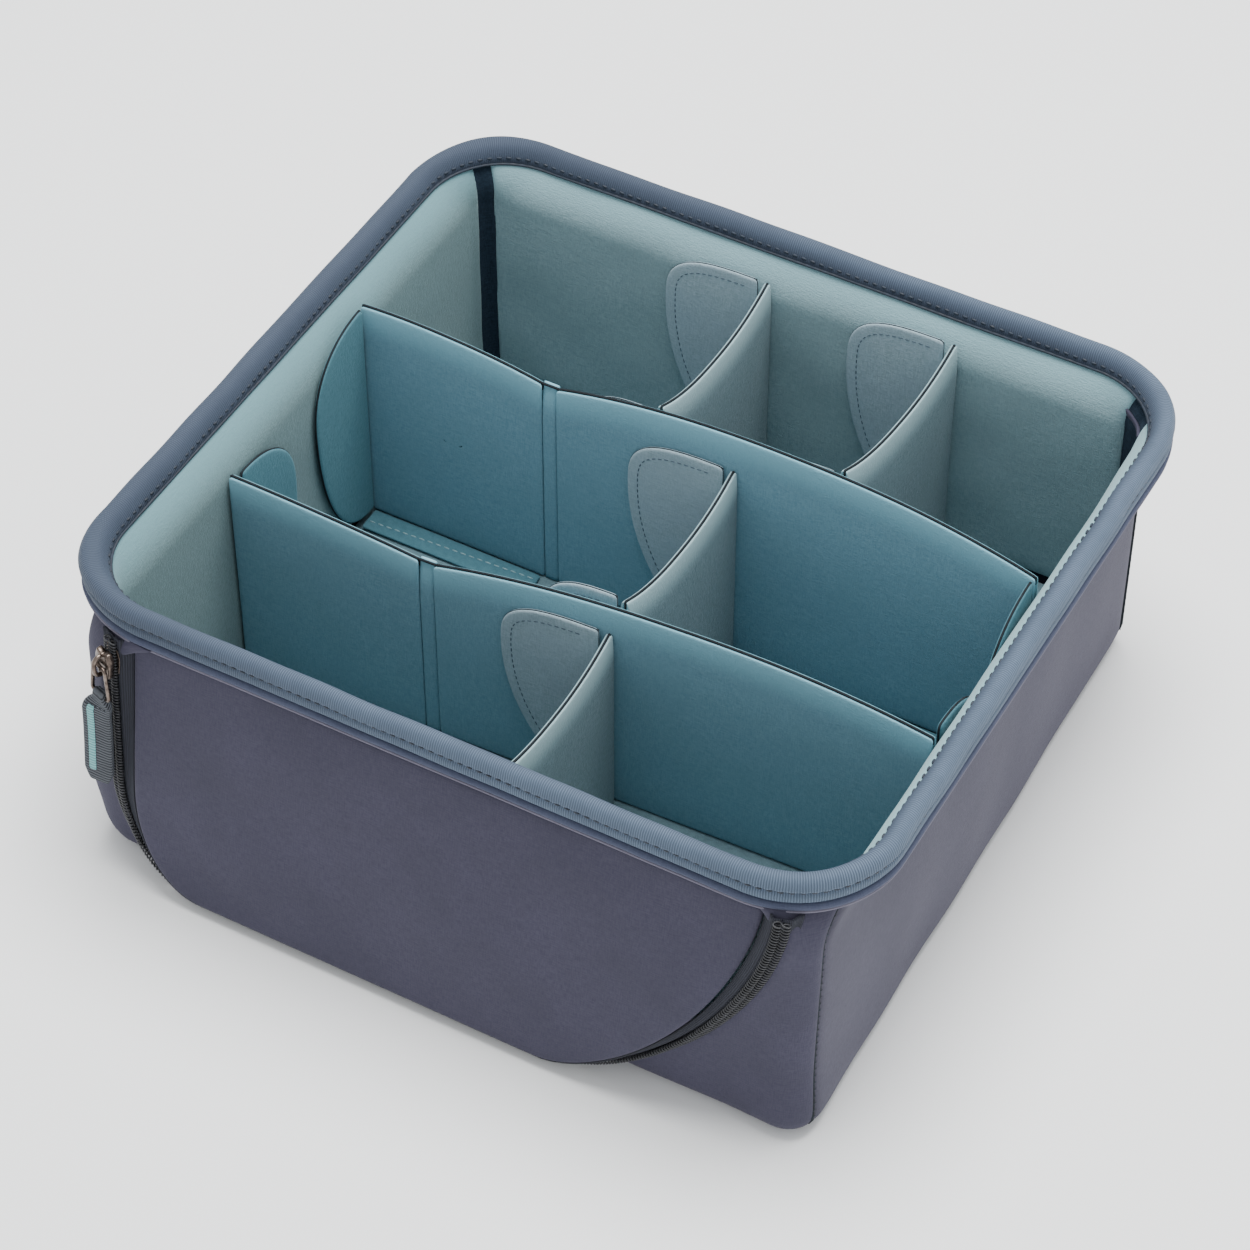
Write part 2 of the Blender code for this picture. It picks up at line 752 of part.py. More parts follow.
def build_slider(metal, webbing, stripe):
    back = tape_thickness / 2 + fit_gap * 2 + coil_radius * 2
    room = link_radius * 2 + fit_gap * 2
    frame = slider_frame()
    plate_y = -(back + slider_plate / 2)
    bar_y = -(back + slider_plate + room / 2)
    bridge_depth = room + bridge_wall
    body = box("zip_slider", (slider_width, slider_plate, slider_length), (0, plate_y, 0), frame, metal)
    bridge_y = -(back + slider_plate - fit_gap + (bridge_depth + fit_gap) / 2)
    bridge = box("slider_bridge", (bridge_width, bridge_depth + fit_gap, bridge_length), (0, bridge_y, 0),
                 frame, metal)
    gap = box("bridge_gap", (bridge_width * 2, room, bridge_length - bridge_wall * 2), (0, bar_y, 0),
              frame, metal)
    combine(body, bridge, "UNION")
    combine(body, gap, "DIFFERENCE")

    pivot = frame.copy()
    pivot.translation = frame @ Vector((0, bar_y, 0))
    half_link = link_width / 2
    ring = rounded_rectangle(-half_link, half_link, -link_length, 0, link_corner, 4)
    link = tube("pull_link", [(x, 0, z) for x, z in ring], link_radius, metal, True, 1)
    link.matrix_world = pivot

    hang = pivot.copy()
    hang.translation = pivot @ Vector((0, 0, -link_length))
    neck = pull_neck / 2
    half = pull_width / 2
    start = pull_barrel * barrel_start_share
    shoulder = start + pull_barrel * shoulder_share
    tip = half * tip_share
    left_edge = [(-neck, -start), (-half, -shoulder)]
    left_edge += [(-half, pull_tip - pull_length), (-tip, -pull_length)]
    outline = left_edge + [(-x, y) for x, y in left_edge[::-1]]
    upright = hang @ Matrix.Rotation(pi / 2, 4, "X")
    strap = flat_plate("webbing_pull", outline, pull_thickness, 0, upright, webbing)
    barrel = rod("pull_barrel", pull_barrel, pull_neck, (0, 0, 0), hang, webbing)
    hole = rod("pull_hole", link_radius + fit_gap, pull_neck * 2, (0, 0, 0), hang, webbing)
    combine(strap, barrel, "UNION")
    combine(strap, hole, "DIFFERENCE")
    stripe_size = (stripe_width, stripe_thickness, pull_length - pull_tip - shoulder * 2)
    stripe_y = -(pull_thickness / 2 + fit_gap + stripe_thickness / 2)
    stripe_z = -(pull_length - pull_tip) / 2 - shoulder / 2
    box("pull_stripe", stripe_size, (0, stripe_y, stripe_z), hang, stripe)


# Dividers

def crowned_top(start, end, start_height, end_height, crown, count):
    # The top edge of a divider between two places along it, bowed up, or down where the crown is
    # negative
    points = []
    for share in along(0, 1, count):
        bow = crown * (1 - abs(2 * share - 1) ** crown_power)
        points.append((blend(start, end, share), blend(start_height, end_height, share) + bow))
    return points


def divider_panel(name, start, end, heights, crown, thickness, edge, origin, direction, material):
    top = crowned_top(start, end, heights[0], heights[1], crown, 8)
    outline = [(start, 0)] + top + [(end, 0)]
    frame = upright_frame((*origin, divider_base), direction)
    return flat_plate(name, outline[::-1], thickness, edge, frame, material)


def tab_outline(width, height):
    # A leaf: straight at the fold, widest at its peak, rounder above than below
    peak = height * tab_peak_share
    crest = height * (1 + tab_crest_share) - peak
    points = [(fit_gap / 2, 0)]
    for angle in along(-pi / 2, 0, 6)[1:]:
        points.append((width * cos(angle) ** tab_power, peak + peak * sin(angle)))
    for angle in along(0, pi / 2, 6)[1:]:
        reach = max(width * cos(angle) ** tab_power, fit_gap / 2)
        points.append((reach, peak + crest * sin(angle) ** tab_power))
    return points


def tab(name, axis, direction, wall_side, width, height, material):
    # The plan point axis is the crease, on the tab's face away from the wall it sticks to
    frame = upright_frame((*axis, divider_base + tab_floor_gap), direction)
    outline = tab_outline(width, height - tab_floor_gap)
    lift = wall_side * tab_thickness / 2
    return flat_plate(name, outline, tab_thickness, tab_edge, frame, material, lift)


def front_divider_line(x):
    # The front long divider stands a little askew: its plan line crosses the box at a slant
    return front_divider_y + front_divider_skew * x / inner_x


def build_long_dividers(teal, teal_tab, hem):
    end = inner_x - end_gap
    half = long_thickness / 2
    edge_gap = fold_width / 2
    rear = (0, rear_divider_y)
    divider_panel("rear_divider_left", -end, fold_x - edge_gap, (rear_left_height, rear_fold_height),
                  rear_left_crown, long_thickness, long_edge, rear, (1, 0), teal)
    divider_panel("rear_divider_right", fold_x + edge_gap, end, (rear_fold_height, rear_right_height),
                  rear_right_crown, long_thickness, long_edge, rear, (1, 0), teal)
    strip = edge_gap - fit_gap
    divider_panel("rear_fold_strip", fold_x - strip, fold_x + strip, (rear_fold_height, rear_fold_height),
                  0, fold_strip_thickness, 0, rear, (1, 0), teal)
    slant = Vector((inner_x, front_divider_skew)).normalized()
    front = (0, front_divider_y)
    divider_panel("front_divider_left", -end, fold_x - edge_gap, (front_left_height, front_fold_height),
                  front_left_crown, long_thickness, long_edge, front, slant, teal)
    divider_panel("front_divider_right", fold_x + edge_gap, end, (front_fold_height, front_right_height),
                  front_right_crown, long_thickness, long_edge, front, slant, teal)
    divider_panel("front_fold_strip", fold_x - strip, fold_x + strip,
                  (front_fold_height, front_fold_height), 0, fold_strip_thickness, 0, front, slant, teal)

    crease_x = end - tab_thickness
    rear_crease = rear_divider_y - half - fit_gap / 2
    tab("rear_divider_left_tab", (-crease_x, rear_crease), (0, -1), 1, rear_end_tab_width,
        rear_left_height, teal_tab)
    tab("rear_divider_right_tab", (crease_x, rear_crease), (0, -1), -1, rear_end_tab_width,
        rear_right_height, teal_tab)
    slanted_half = half + front_divider_skew * tab_thickness / inner_x
    left_crease = front_divider_line(-crease_x) + slanted_half + fit_gap / 2
    right_crease = front_divider_line(end) + slanted_half + fit_gap / 2
    tab("front_divider_left_tab", (-crease_x, left_crease), (0, 1), -1, front_end_tab_width,
        front_left_height, teal_tab)
    tab("front_divider_right_tab", (crease_x, right_crease), (0, 1), 1, front_end_tab_width,
        front_right_height, teal_tab)

    foot_far = rear_divider_y - half - fit_gap - foot_width
    frame = Matrix.Translation((0, foot_far + foot_width / 2, divider_base + foot_thickness / 2))
    reach = end - tab_thickness - foot_end_gap
    for side, first, last in (("left", -reach, fold_x - edge_gap), ("right", foot_start_x, reach)):
        size = (last - first, foot_width, foot_thickness)
        box("rear_divider_foot_" + side, size, ((first + last) / 2, 0, 0), frame, hem)


def build_short_divider(name, ends, heights, slants, materials):
    # The ends are plan points on the faces that the divider stands between, rear end first, and
    # the slants are the directions of those faces. The tabs are folded to the left at both ends
    panel_fabric, tab_fabric = materials
    start = Vector((*ends[0], 0))
    finish = Vector((*ends[1], 0))
    run = (finish - start).normalized()
    length = (finish - start).length
    divider_panel(name, fit_gap, length - fit_gap, heights, -short_sag, short_thickness, short_edge,
                  ends[0], run, panel_fabric)
    left = Vector((run.y, -run.x, 0))
    reach = short_thickness / 2 + fit_gap
    inset = fit_gap + tab_thickness + short_thickness * abs(run.x)
    rear_axis = start + left * reach + run * inset
    front_axis = finish + left * reach - run * inset
    tab(name + "_rear_tab", rear_axis[:2], slants[0], 1, short_tab_width, heights[0], tab_fabric)
    tab(name + "_front_tab", front_axis[:2], slants[1], -1, front_tab_width,
        heights[0] + front_tab_rise, tab_fabric)


def build_short_dividers(panel_fabric, tab_fabric):
    half = long_thickness / 2
    materials = (panel_fabric, tab_fabric)
    straight = (-1, 0)
    slanted = (-inner_x, -front_divider_skew)
    rear_face = rear_divider_y + half
    build_short_divider("first_divider", ((first_rear_x, inner_rear_y), (first_front_x, rear_face)),
                        (first_rear_height, first_front_height), (straight, straight), materials)
    build_short_divider("second_divider", ((second_rear_x, inner_rear_y), (second_front_x, rear_face)),
                        (second_rear_height, second_front_height), (straight, straight), materials)
    rear_face = rear_divider_y - half
    front_face = front_divider_line(third_front_x) + half
    build_short_divider("third_divider", ((third_rear_x, rear_face), (third_front_x, front_face)),
                        (third_rear_height, third_front_height), (straight, slanted), materials)
    rear_face = front_divider_line(fourth_rear_x) - half
    build_short_divider("fourth_divider", ((fourth_rear_x, rear_face), (fourth_front_x, inner_front_y)),
                        (fourth_rear_height, fourth_front_height), (slanted, straight), materials)


shell_fabric = make_material("woven polyester shell", "53566a", 0.85)
binding_tape = make_material("grosgrain binding tape", "5c7083", 0.8)
piping_cord = make_material("covered piping", "55667a", 0.6)
loop_fabric = make_material("brushed loop lining", "7fa3a6", 0.95)
gusset_fabric = make_material("navy gusset fabric", "1b2733", 0.9)
seam_black = make_material("black seam", "17181c", 0.8)
tape_black = make_material("black zip tape", "26272b", 0.85)
coil_black = make_material("black nylon coil", "202124", 0.45)
gunmetal = make_material("gunmetal zinc", "4a423c", 0.35, 0.9)
webbing_grey = make_material("grey pull webbing", "4a4d52", 0.85)
stripe_teal = make_material("teal stripe", "7fb0b2", 0.8)
divider_teal = make_material("teal divider fabric", "3f6f80", 0.9)
tab_teal = make_material("teal tab fabric", "47788a", 0.9)
divider_pale = make_material("pale divider fabric", "8fb0b4", 0.9)
felt_blue = make_material("blue-grey felt tab", "6b8390", 0.95)

build_shell(shell_fabric, seam_black)
build_rim(binding_tape, piping_cord)
build_padding(loop_fabric, gusset_fabric)
flap_slab("door_flap", 0, 0, flap_thickness, shell_fabric)
liner_depth = flap_thickness + fit_gap
flap_slab("door_flap_liner", flap_liner_margin, liner_depth, flap_liner_thickness, loop_fabric)
build_zip(tape_black, coil_black)
build_slider(gunmetal, webbing_grey, stripe_teal)
build_long_dividers(divider_teal, tab_teal, divider_teal)
build_short_dividers(divider_pale, felt_blue)
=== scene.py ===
# A padded camera bag insert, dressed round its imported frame. Shapes below are worked out in
# millimetres and become metres when the mesh is made.
import math
import bmesh
import bpy
import numpy as np
from mathutils import Matrix, Vector


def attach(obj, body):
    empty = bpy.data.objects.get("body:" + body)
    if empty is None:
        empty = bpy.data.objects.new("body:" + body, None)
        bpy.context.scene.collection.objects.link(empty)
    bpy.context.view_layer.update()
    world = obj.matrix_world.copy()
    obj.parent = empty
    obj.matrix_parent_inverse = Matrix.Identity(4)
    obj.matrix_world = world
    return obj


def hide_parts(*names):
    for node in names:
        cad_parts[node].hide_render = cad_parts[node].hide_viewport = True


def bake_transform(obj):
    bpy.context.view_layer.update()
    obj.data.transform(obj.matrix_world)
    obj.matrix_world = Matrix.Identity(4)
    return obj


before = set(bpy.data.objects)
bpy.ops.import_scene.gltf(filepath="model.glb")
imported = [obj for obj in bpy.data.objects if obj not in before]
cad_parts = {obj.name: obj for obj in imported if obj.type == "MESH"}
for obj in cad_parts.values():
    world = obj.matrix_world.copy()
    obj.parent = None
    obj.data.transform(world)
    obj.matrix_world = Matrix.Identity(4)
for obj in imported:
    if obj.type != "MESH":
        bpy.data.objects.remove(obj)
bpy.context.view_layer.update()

mm = 0.001
case = dict(length=295.0, depth=271.6, left=-137.5, right=136.0, rear=125.7,
            front=-133.5, wallTop=108.3, corner=12.0, bottomRound=9.0, seamAngle=26.0,
            innerX=131.0, innerRear=120.7, innerFront=-125.5)


# ---- materials

def hexColour(code):
    # An sRGB hex value as linear RGBA
    channels = np.array([int(code[k:k + 2], 16) / 255 for k in (0, 2, 4)])
    linear = np.where(channels <= 0.04045, channels / 12.92, ((channels + 0.055) / 1.055) ** 2.4)
    return (*[float(c) for c in linear], 1.0)


def addNode(tree, kind, sockets=None, **settings):
    # One shader node: settings are its properties, sockets its input values or incoming links
    node = tree.nodes.new("ShaderNode" + kind)
    for name, value in settings.items():
        setattr(node, name, value)
    for socket, value in (sockets or {}).items():
        if isinstance(value, bpy.types.NodeSocket):
            tree.links.new(value, node.inputs[socket])
        else:
            node.inputs[socket].default_value = value
    return node


def newMaterial(name, roughness, metallic=0.0, sheen=0.0, sheenTint="ffffff", specular=0.3):
    # An empty Principled material with the constants that are the same all over
    material = bpy.data.materials.new(name)
    material.use_nodes = True
    tree = material.node_tree
    shader = tree.nodes["Principled BSDF"]
    shader.inputs["Roughness"].default_value = roughness
    shader.inputs["Metallic"].default_value = metallic
    shader.inputs["Specular IOR Level"].default_value = specular
    shader.inputs["Sheen Weight"].default_value = sheen
    shader.inputs["Sheen Roughness"].default_value = 0.5
    shader.inputs["Sheen Tint"].default_value = hexColour(sheenTint)
    return material, tree, shader


def mixColours(tree, share, low, high):
    # A colour that runs from low to high with the share
    mix = addNode(tree, "Mix", {"Factor": share}, data_type="RGBA")
    for socket, value in ((6, low), (7, high)):
        if isinstance(value, bpy.types.NodeSocket):
            tree.links.new(value, mix.inputs[socket])
        else:
            mix.inputs[socket].default_value = value
    return mix.outputs[2]


def finish(tree, shader, colour, height, strength, depth):
    # The colour and the bump of a material, its depth in millimetres
    tree.links.new(colour, shader.inputs["Base Color"])
    bump = addNode(tree, "Bump", {"Height": height, "Strength": strength, "Distance": depth * mm})
    tree.links.new(bump.outputs[0], shader.inputs["Normal"])


def flecks(tree, vector, stretch):
    # Noise drawn out along one way, as threads are: the stretch is its fineness along each axis
    scaled = addNode(tree, "VectorMath", {0: vector, 1: stretch}, operation="MULTIPLY").outputs[0]
    return addNode(tree, "TexNoise", {"Vector": scaled, "Scale": 1.0, "Detail": 2.0, "Roughness": 0.6}).outputs[0]


def wovenPolyester(name, warp, weft, shade, fine=2300.0, sheen=0.1):
    # Textured polyester, plain woven: dull, with fine slubby threads both ways in two near tones
    material, tree, shader = newMaterial(name, 0.86, sheen=sheen, sheenTint="b9b6c8", specular=0.25)
    uv = addNode(tree, "UVMap", uv_map="fabric").outputs[0]
    upright = flecks(tree, uv, (fine, fine * 0.14, 1.0))
    level = flecks(tree, uv, (fine * 0.14, fine, 1.0))
    both = addNode(tree, "Math", {0: upright, 1: level}, operation="ADD").outputs[0]
    share = addNode(tree, "MapRange", {0: both, 1: 0.78, 2: 1.22}).outputs[0]
    threads = mixColours(tree, share, hexColour(warp), hexColour(weft))
    cloud = addNode(tree, "TexNoise", {"Vector": uv, "Scale": 26.0, "Detail": 5.0, "Roughness": 0.7})
    patch = addNode(tree, "MapRange", {0: cloud.outputs[0], 1: 0.35, 2: 0.7, 3: 0.0, 4: 0.5}).outputs[0]
    finish(tree, shader, mixColours(tree, patch, threads, hexColour(shade)), share, 0.3, 0.2)
    return material


def ribbedTape(name, crest, valley, pitch, along="X", sheen=0.1, strength=0.8, roughness=0.75, inner=None):
    # Grosgrain: a matt tape with fine ribs across it, each lighter on its crest: a painted highlight
    # over the ribs' bump. A binding's inner is (colour, run across it where that is full, run where it
    # ends): that half gets painted shade, and so does the binding's left side, where less light is thrown back from
    # the ribs
    material, tree, shader = newMaterial(name, roughness, sheen=sheen, sheenTint="a9b8cc", specular=0.3)
    uv = addNode(tree, "UVMap", uv_map="fabric").outputs[0]
    axes = addNode(tree, "SeparateXYZ", {0: uv})
    drift = addNode(tree, "TexNoise", {"Vector": uv, "Scale": 190.0, "Detail": 2.0})
    shift = addNode(tree, "Math", {0: drift.outputs[0], 1: 4.2}, operation="MULTIPLY").outputs[0]
    turn = addNode(tree, "Math", {0: axes.outputs[along], 1: 2 * math.pi / (pitch * mm), 2: shift},
                   operation="MULTIPLY_ADD").outputs[0]
    wave = addNode(tree, "Math", {0: turn}, operation="SINE").outputs[0]
    share = addNode(tree, "MapRange", {0: wave, 1: -0.9, 2: 0.7}).outputs[0]
    ribs = mixColours(tree, share, hexColour(valley), hexColour(crest))
    cloud = addNode(tree, "TexNoise", {"Vector": uv, "Scale": 45.0, "Detail": 4.0, "Roughness": 0.7})
    patch = addNode(tree, "MapRange", {0: cloud.outputs[0], 1: 0.35, 2: 0.7, 3: 0.0, 4: 0.45}).outputs[0]
    tape = mixColours(tree, patch, ribs, hexColour(valley))
    if inner:
        # Painted shade: the inner half of the binding, and its left side picked out by its place
        across = addNode(tree, "MapRange", {0: axes.outputs["Y"], 1: inner[1] * mm, 2: inner[2] * mm, 3: 0.8, 4: 0.0})
        spot = addNode(tree, "TexCoord").outputs["Object"]
        behind = addNode(tree, "VectorMath", {0: spot, 1: (-1.0, 0.3, 0.0)}, operation="DOT_PRODUCT").outputs["Value"]
        wearAndShade = addNode(tree, "MapRange", {0: behind, 1: -0.07, 2: 0.13, 3: 0.0, 4: 0.65},
                       interpolation_type="SMOOTHSTEP")
        dark = addNode(tree, "Math", {0: across.outputs[0], 1: wearAndShade.outputs[0]}, operation="MAXIMUM").outputs[0]
        tape = mixColours(tree, dark, tape, hexColour(inner[0]))
    finish(tree, shader, tape, share, strength, 0.22)
    return material


def brushedLoop(name, pile, root, cast, sheen=0.35, sheenTint="cfe6e8", mottle=0.5, grain=2600.0, paintedHighlight=None):
    # Brushed nylon loop lining: a short raised pile, so it has no gloss, and a mottled colour where the
    # pile lies one way or the other. A pale painted highlight may lighten it towards a rolled top edge.
    # The highlight is (colour, drop where it ends, drop where it is full, how full): a drop below the
    # piece's own top edge, or a height on the walls
    material, tree, shader = newMaterial(name, 0.95, sheen=sheen, sheenTint=sheenTint, specular=0.12)
    place = addNode(tree, "TexCoord").outputs["Object"]
    level = flecks(tree, place, (grain * 0.17, grain * 0.17, grain))
    upright = flecks(tree, place, (grain, grain, grain * 0.17))
    loops = addNode(tree, "Math", {0: level, 1: upright}, operation="ADD").outputs[0]
    share = addNode(tree, "MapRange", {0: loops, 1: 0.75, 2: 1.25}).outputs[0]
    colour = mixColours(tree, share, hexColour(root), hexColour(pile))
    cloud = addNode(tree, "TexNoise", {"Vector": place, "Scale": 55.0, "Detail": 6.0, "Roughness": 0.72})
    patch = addNode(tree, "MapRange", {0: cloud.outputs[0], 1: 0.38, 2: 0.68, 3: 0.0, 4: mottle}).outputs[0]
    colour = mixColours(tree, patch, colour, hexColour(cast))
    # Painted highlight towards the top edge
    if paintedHighlight:
        tint, start, full, most = paintedHighlight
        level = (addNode(tree, "SeparateXYZ", {0: place}).outputs["Z"] if full > start else
                 addNode(tree, "SeparateXYZ", {0: addNode(tree, "UVMap", uv_map="drop").outputs[0]}).outputs["X"])
        fade = addNode(tree, "MapRange", {0: level, 1: start * mm, 2: full * mm, 3: 0.0, 4: most},
                       interpolation_type="SMOOTHSTEP")
        colour = mixColours(tree, fade.outputs[0], colour, hexColour(tint))
    finish(tree, shader, colour, share, 0.4, 0.25)
    return material


def mouldedOrCast(name, base, wearAndShade, roughness, metallic=0.0, specular=0.5, scale=420.0):
    # Moulded nylon or plated zinc: smooth, with a slightly uneven, rubbed surface
    material, tree, shader = newMaterial(name, roughness, metallic, specular=specular)
    place = addNode(tree, "TexCoord").outputs["Object"]
    rub = addNode(tree, "TexNoise", {"Vector": place, "Scale": scale, "Detail": 5.0, "Roughness": 0.6})
    share = addNode(tree, "MapRange", {0: rub.outputs[0], 1: 0.4, 2: 0.68}).outputs[0]
    dull = addNode(tree, "MapRange", {0: rub.outputs[0], 1: 0.3, 2: 0.7, 3: roughness * 0.75,
                                      4: min(roughness * 1.3, 1.0)}).outputs[0]
    tree.links.new(dull, shader.inputs["Roughness"])
    finish(tree, shader, mixColours(tree, share, hexColour(base), hexColour(wearAndShade)), rub.outputs[0], 0.15, 0.1)
    return material


slateWeave = wovenPolyester("slate textured polyester", "363546", "413f4f", "30303d")
# A lighter, warmer copy of the slate cloth for the right panel: painted light
rightWeaveLit = wovenPolyester("right panel textured polyester, painted light", "42414d", "4c4b58", "3b3a45")
bindingTape = ribbedTape("blue-grey grosgrain binding", "5b6b7f", "3e4b5b", 0.8, inner=("2a303e", 8.0, 17.0))
pipingCloth = wovenPolyester("covered piping cloth", "3c4256", "464c60", "363c4f")
# The flange's edge is real, and its pale colour is a painted highlight
edgeCordHighlight = wovenPolyester("piping flange edge, painted highlight", "676474", "72707e", "5b5864")
stitchThread = mouldedOrCast("dark bonded nylon thread", "1c232e", "2a3441", 0.7)
feltThread = mouldedOrCast("slate bonded nylon thread", "3b4d59", "495c68", 0.7)
linerLoop = brushedLoop("pale teal brushed loop lining", "869fa5", "718a90", "7a9399",
                        paintedHighlight=("7fa3ab", 100.0, 114.0, 0.75))
# A darker copy of the lining for the left pad: painted shade
leftLoopShaded = brushedLoop("pale teal brushed loop lining, left", "6a8285", "566d70", "5f7679",
                       paintedHighlight=("6d949c", 100.0, 114.0, 0.8))
floorLoop = brushedLoop("floor brushed loop lining", "6b858e", "577078", "5e7880")
navyGusset = brushedLoop("navy knitted gusset", "25323f", "161f29", "1b2733", 0.15, "6f8296")
tealLoop = brushedLoop("teal brushed divider fabric", "779cab", "628a9a", "6a919f", 0.2, "9fd2dd",
                       paintedHighlight=("7db0bf", 15.0, 1.0, 0.8))
# A lighter copy for the far lip beside the seam: painted highlight
tealLipHighlight = brushedLoop("teal divider fabric, painted highlight on its far lip", "7aa9b5", "6897a4", "70a0ad", 0.25, "bfe4ea")
tealTab = brushedLoop("teal brushed tab fabric", "547d88", "446b77", "4a727d", 0.25, "9fd2dd")
paleLoop = brushedLoop("pale grey-teal divider fabric", "647d85", "4f6870", "566f77", 0.2, "e2f2f3",
                       paintedHighlight=("9ab6bb", 14.0, 1.0, 0.85))
# A lighter copy for the far lip beside the seam: painted highlight
paleLipHighlight = brushedLoop("pale divider fabric, painted highlight on its far lip", "93aeb4", "7d989e", "86a1a7", 0.25, "eef7f7")
feltTab = brushedLoop("blue-grey needled felt", "9cb0ba", "85999f", "8b9fab", 0.2, "b5c9d4", 0.6)
seamThread = mouldedOrCast("near-black seam binding", "15191d", "23292e", 0.85, specular=0.2)
paleThread = mouldedOrCast("pale hem thread", "7d9da3", "90b0b6", 0.8)
zipTape = ribbedTape("black woven zip tape", "2f313b", "1d1e25", 0.7, "Y", 0.05, 0.5, 0.85)
zipNylon = mouldedOrCast("black nylon coil", "1c1d20", "34353a", 0.42)
gunmetal = mouldedOrCast("gunmetal plated zinc", "4f453f", "80736a", 0.3, 0.95)
pullWebbing = ribbedTape("grey-black ribbed pull webbing", "5a5e64", "1d1f23", 1.15, "Y", 0.1, 1.0, 0.8)
pullStripe = ribbedTape("teal stripe in the webbing", "86bcbd", "568c8e", 1.15, "Y", 0.1, 0.8, 0.8)
print("materials made")


# ---- shared mesh code

def runLengths(points, axis, closed):
    # The mean distance run along one way of the grid, from zero
    if closed:
        points = np.concatenate([points, points.take([0], axis)], axis)
    steps = np.linalg.norm(np.diff(points, axis=axis), axis=-1)
    return np.concatenate([[0.0], np.cumsum(steps.mean(axis=1 - axis))])


def gridMesh(name, points, material, uv=None, closeU=False, closeV=False, caps=False, weld=False,
             pins=None, outward=False, edging=None, edged=None, drop=None):
    # A grid of points in u and v as quads. The map is in metres: the run along u and the run along
    # v, unless it is given. Caps close the first and the last row with one face each. The cells in
    # v that are edged have the edging material. A second map may hold each point's drop
    points = np.asarray(points, float)
    countU, countV = points.shape[:2]
    cellsU, cellsV = countU - (not closeU), countV - (not closeV)
    u, v = (k.reshape(-1, 1) for k in np.meshgrid(np.arange(cellsU), np.arange(cellsV), indexing="ij"))
    cornersU = u + np.array([[0, 1, 1, 0]])
    cornersV = v + np.array([[0, 0, 1, 1]])
    faces = ((cornersU % countU) * countV + cornersV % countV).tolist()
    if uv is None:
        uv = np.stack(np.meshgrid(runLengths(points, 0, closeU), runLengths(points, 1, closeV),
                                  indexing="ij"), -1)
    elif closeU or closeV:
        uv = np.pad(uv, ((0, int(closeU)), (0, int(closeV)), (0, 0)), mode="wrap")
    corners = uv[cornersU, cornersV].reshape(-1, 2)
    if caps:
        ring = np.arange(countV)
        faces += [ring[::-1].tolist(), (ring + (countU - 1) * countV).tolist()]
        corners = np.concatenate([corners, uv[0, ring[::-1]], uv[-1, ring]])
    mesh = bpy.data.meshes.new(name)
    mesh.from_pydata((points.reshape(-1, 3) * mm).tolist(), [], faces)
    mesh.uv_layers.new(name="fabric").data.foreach_set("uv", (corners * mm).astype(np.float32).ravel())
    if drop is not None:
        spread = np.pad(drop, ((0, int(closeU)), (0, int(closeV))), mode="wrap")[cornersU, cornersV].reshape(-1)
        ends = np.concatenate([drop[0, ::-1], drop[-1]]) if caps else []
        drop = np.concatenate([spread, ends])
        mesh.uv_layers.new(name="drop").data.foreach_set(
            "uv", (stack(drop, drop * 0) * mm).astype(np.float32).ravel())
    mesh.shade_smooth()
    mesh.materials.append(material)
    if edging:
        mesh.materials.append(edging)
        mesh.polygons.foreach_set("material_index", np.tile(edged, cellsU).astype(np.int32))
    piece = newObject(name, mesh)
    if pins is not None:
        held = np.broadcast_to(pins, (countU, countV)).reshape(-1)
        piece.vertex_groups.new(name="pinned").add(np.nonzero(held)[0].tolist(), 1.0, "REPLACE")
    if weld or outward:
        faceOutward(mesh, weld)
    return piece


def newObject(name, data):
    # An object for the data, linked to the scene
    piece = bpy.data.objects.new(name, data)
    bpy.context.scene.collection.objects.link(piece)
    return piece


def faceOutward(mesh, weld=False):
    # Turns the faces outwards, and first joins points that lie together where it is to weld
    shell = bmesh.new()
    shell.from_mesh(mesh)
    if weld:
        bmesh.ops.remove_doubles(shell, verts=shell.verts, dist=0.02 * mm)
    bmesh.ops.recalc_face_normals(shell, faces=shell.faces)
    shell.to_mesh(mesh)
    shell.free()


def modify(piece, kind, **settings):
    # One modifier with its settings
    modifier = piece.modifiers.new(kind.lower(), kind)
    for name, value in settings.items():
        setattr(modifier, name, value)
    return modifier


def settle(piece, body, nodes=(), slot=None, smooth=0):
    # The piece rides on its body, stands for its nodes and gets its last subdivision
    if smooth:
        modify(piece, "SUBSURF", levels=smooth, render_levels=smooth)
    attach(piece, body)
    if nodes:
        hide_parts(*([nodes] if isinstance(nodes, str) else nodes))


def ripple(u, v, length, seed):
    # A gentle uneven surface between -1 and 1: a sum of seven waves of random direction
    chance = np.random.default_rng(seed)
    total = np.zeros(np.broadcast(u, v).shape)
    for k in range(7):
        way = chance.uniform(0, 2 * math.pi)
        wave = 2 * math.pi / (length * chance.uniform(0.6, 1.9))
        total += np.sin((u * math.cos(way) + v * math.sin(way)) * wave + chance.uniform(0, 6.28))
    return total / 4.2


def stack(*parts):
    return np.stack(np.broadcast_arrays(*parts), -1)


def smoothStep(share):
    share = np.clip(share, 0, 1)
    return share * share * (3 - 2 * share)


def hump(value, middle, wide):
    # A bell curve: one at the middle, and about a third that far off
    return np.exp(-((value - middle) / wide) ** 2)


def squarer(wave, power):
    # A cosine or sine with its size raised to a power, which makes a circle squarer
    return np.sign(wave) * np.abs(wave) ** power


def evenly(points, step, closed=True):
    # The same line with its points spread evenly along it, about one step apart
    points = np.asarray(points, float)
    if closed:
        points = np.concatenate([points, points[:1]])
    run = np.concatenate([[0.0], np.cumsum(np.linalg.norm(np.diff(points, axis=0), axis=1))])
    count = max(int(round(run[-1] / step)), 4)
    places = np.linspace(0, run[-1], count + 1)[:count if closed else count + 1]
    return np.stack([np.interp(places, run, points[:, k]) for k in range(points.shape[1])], 1)


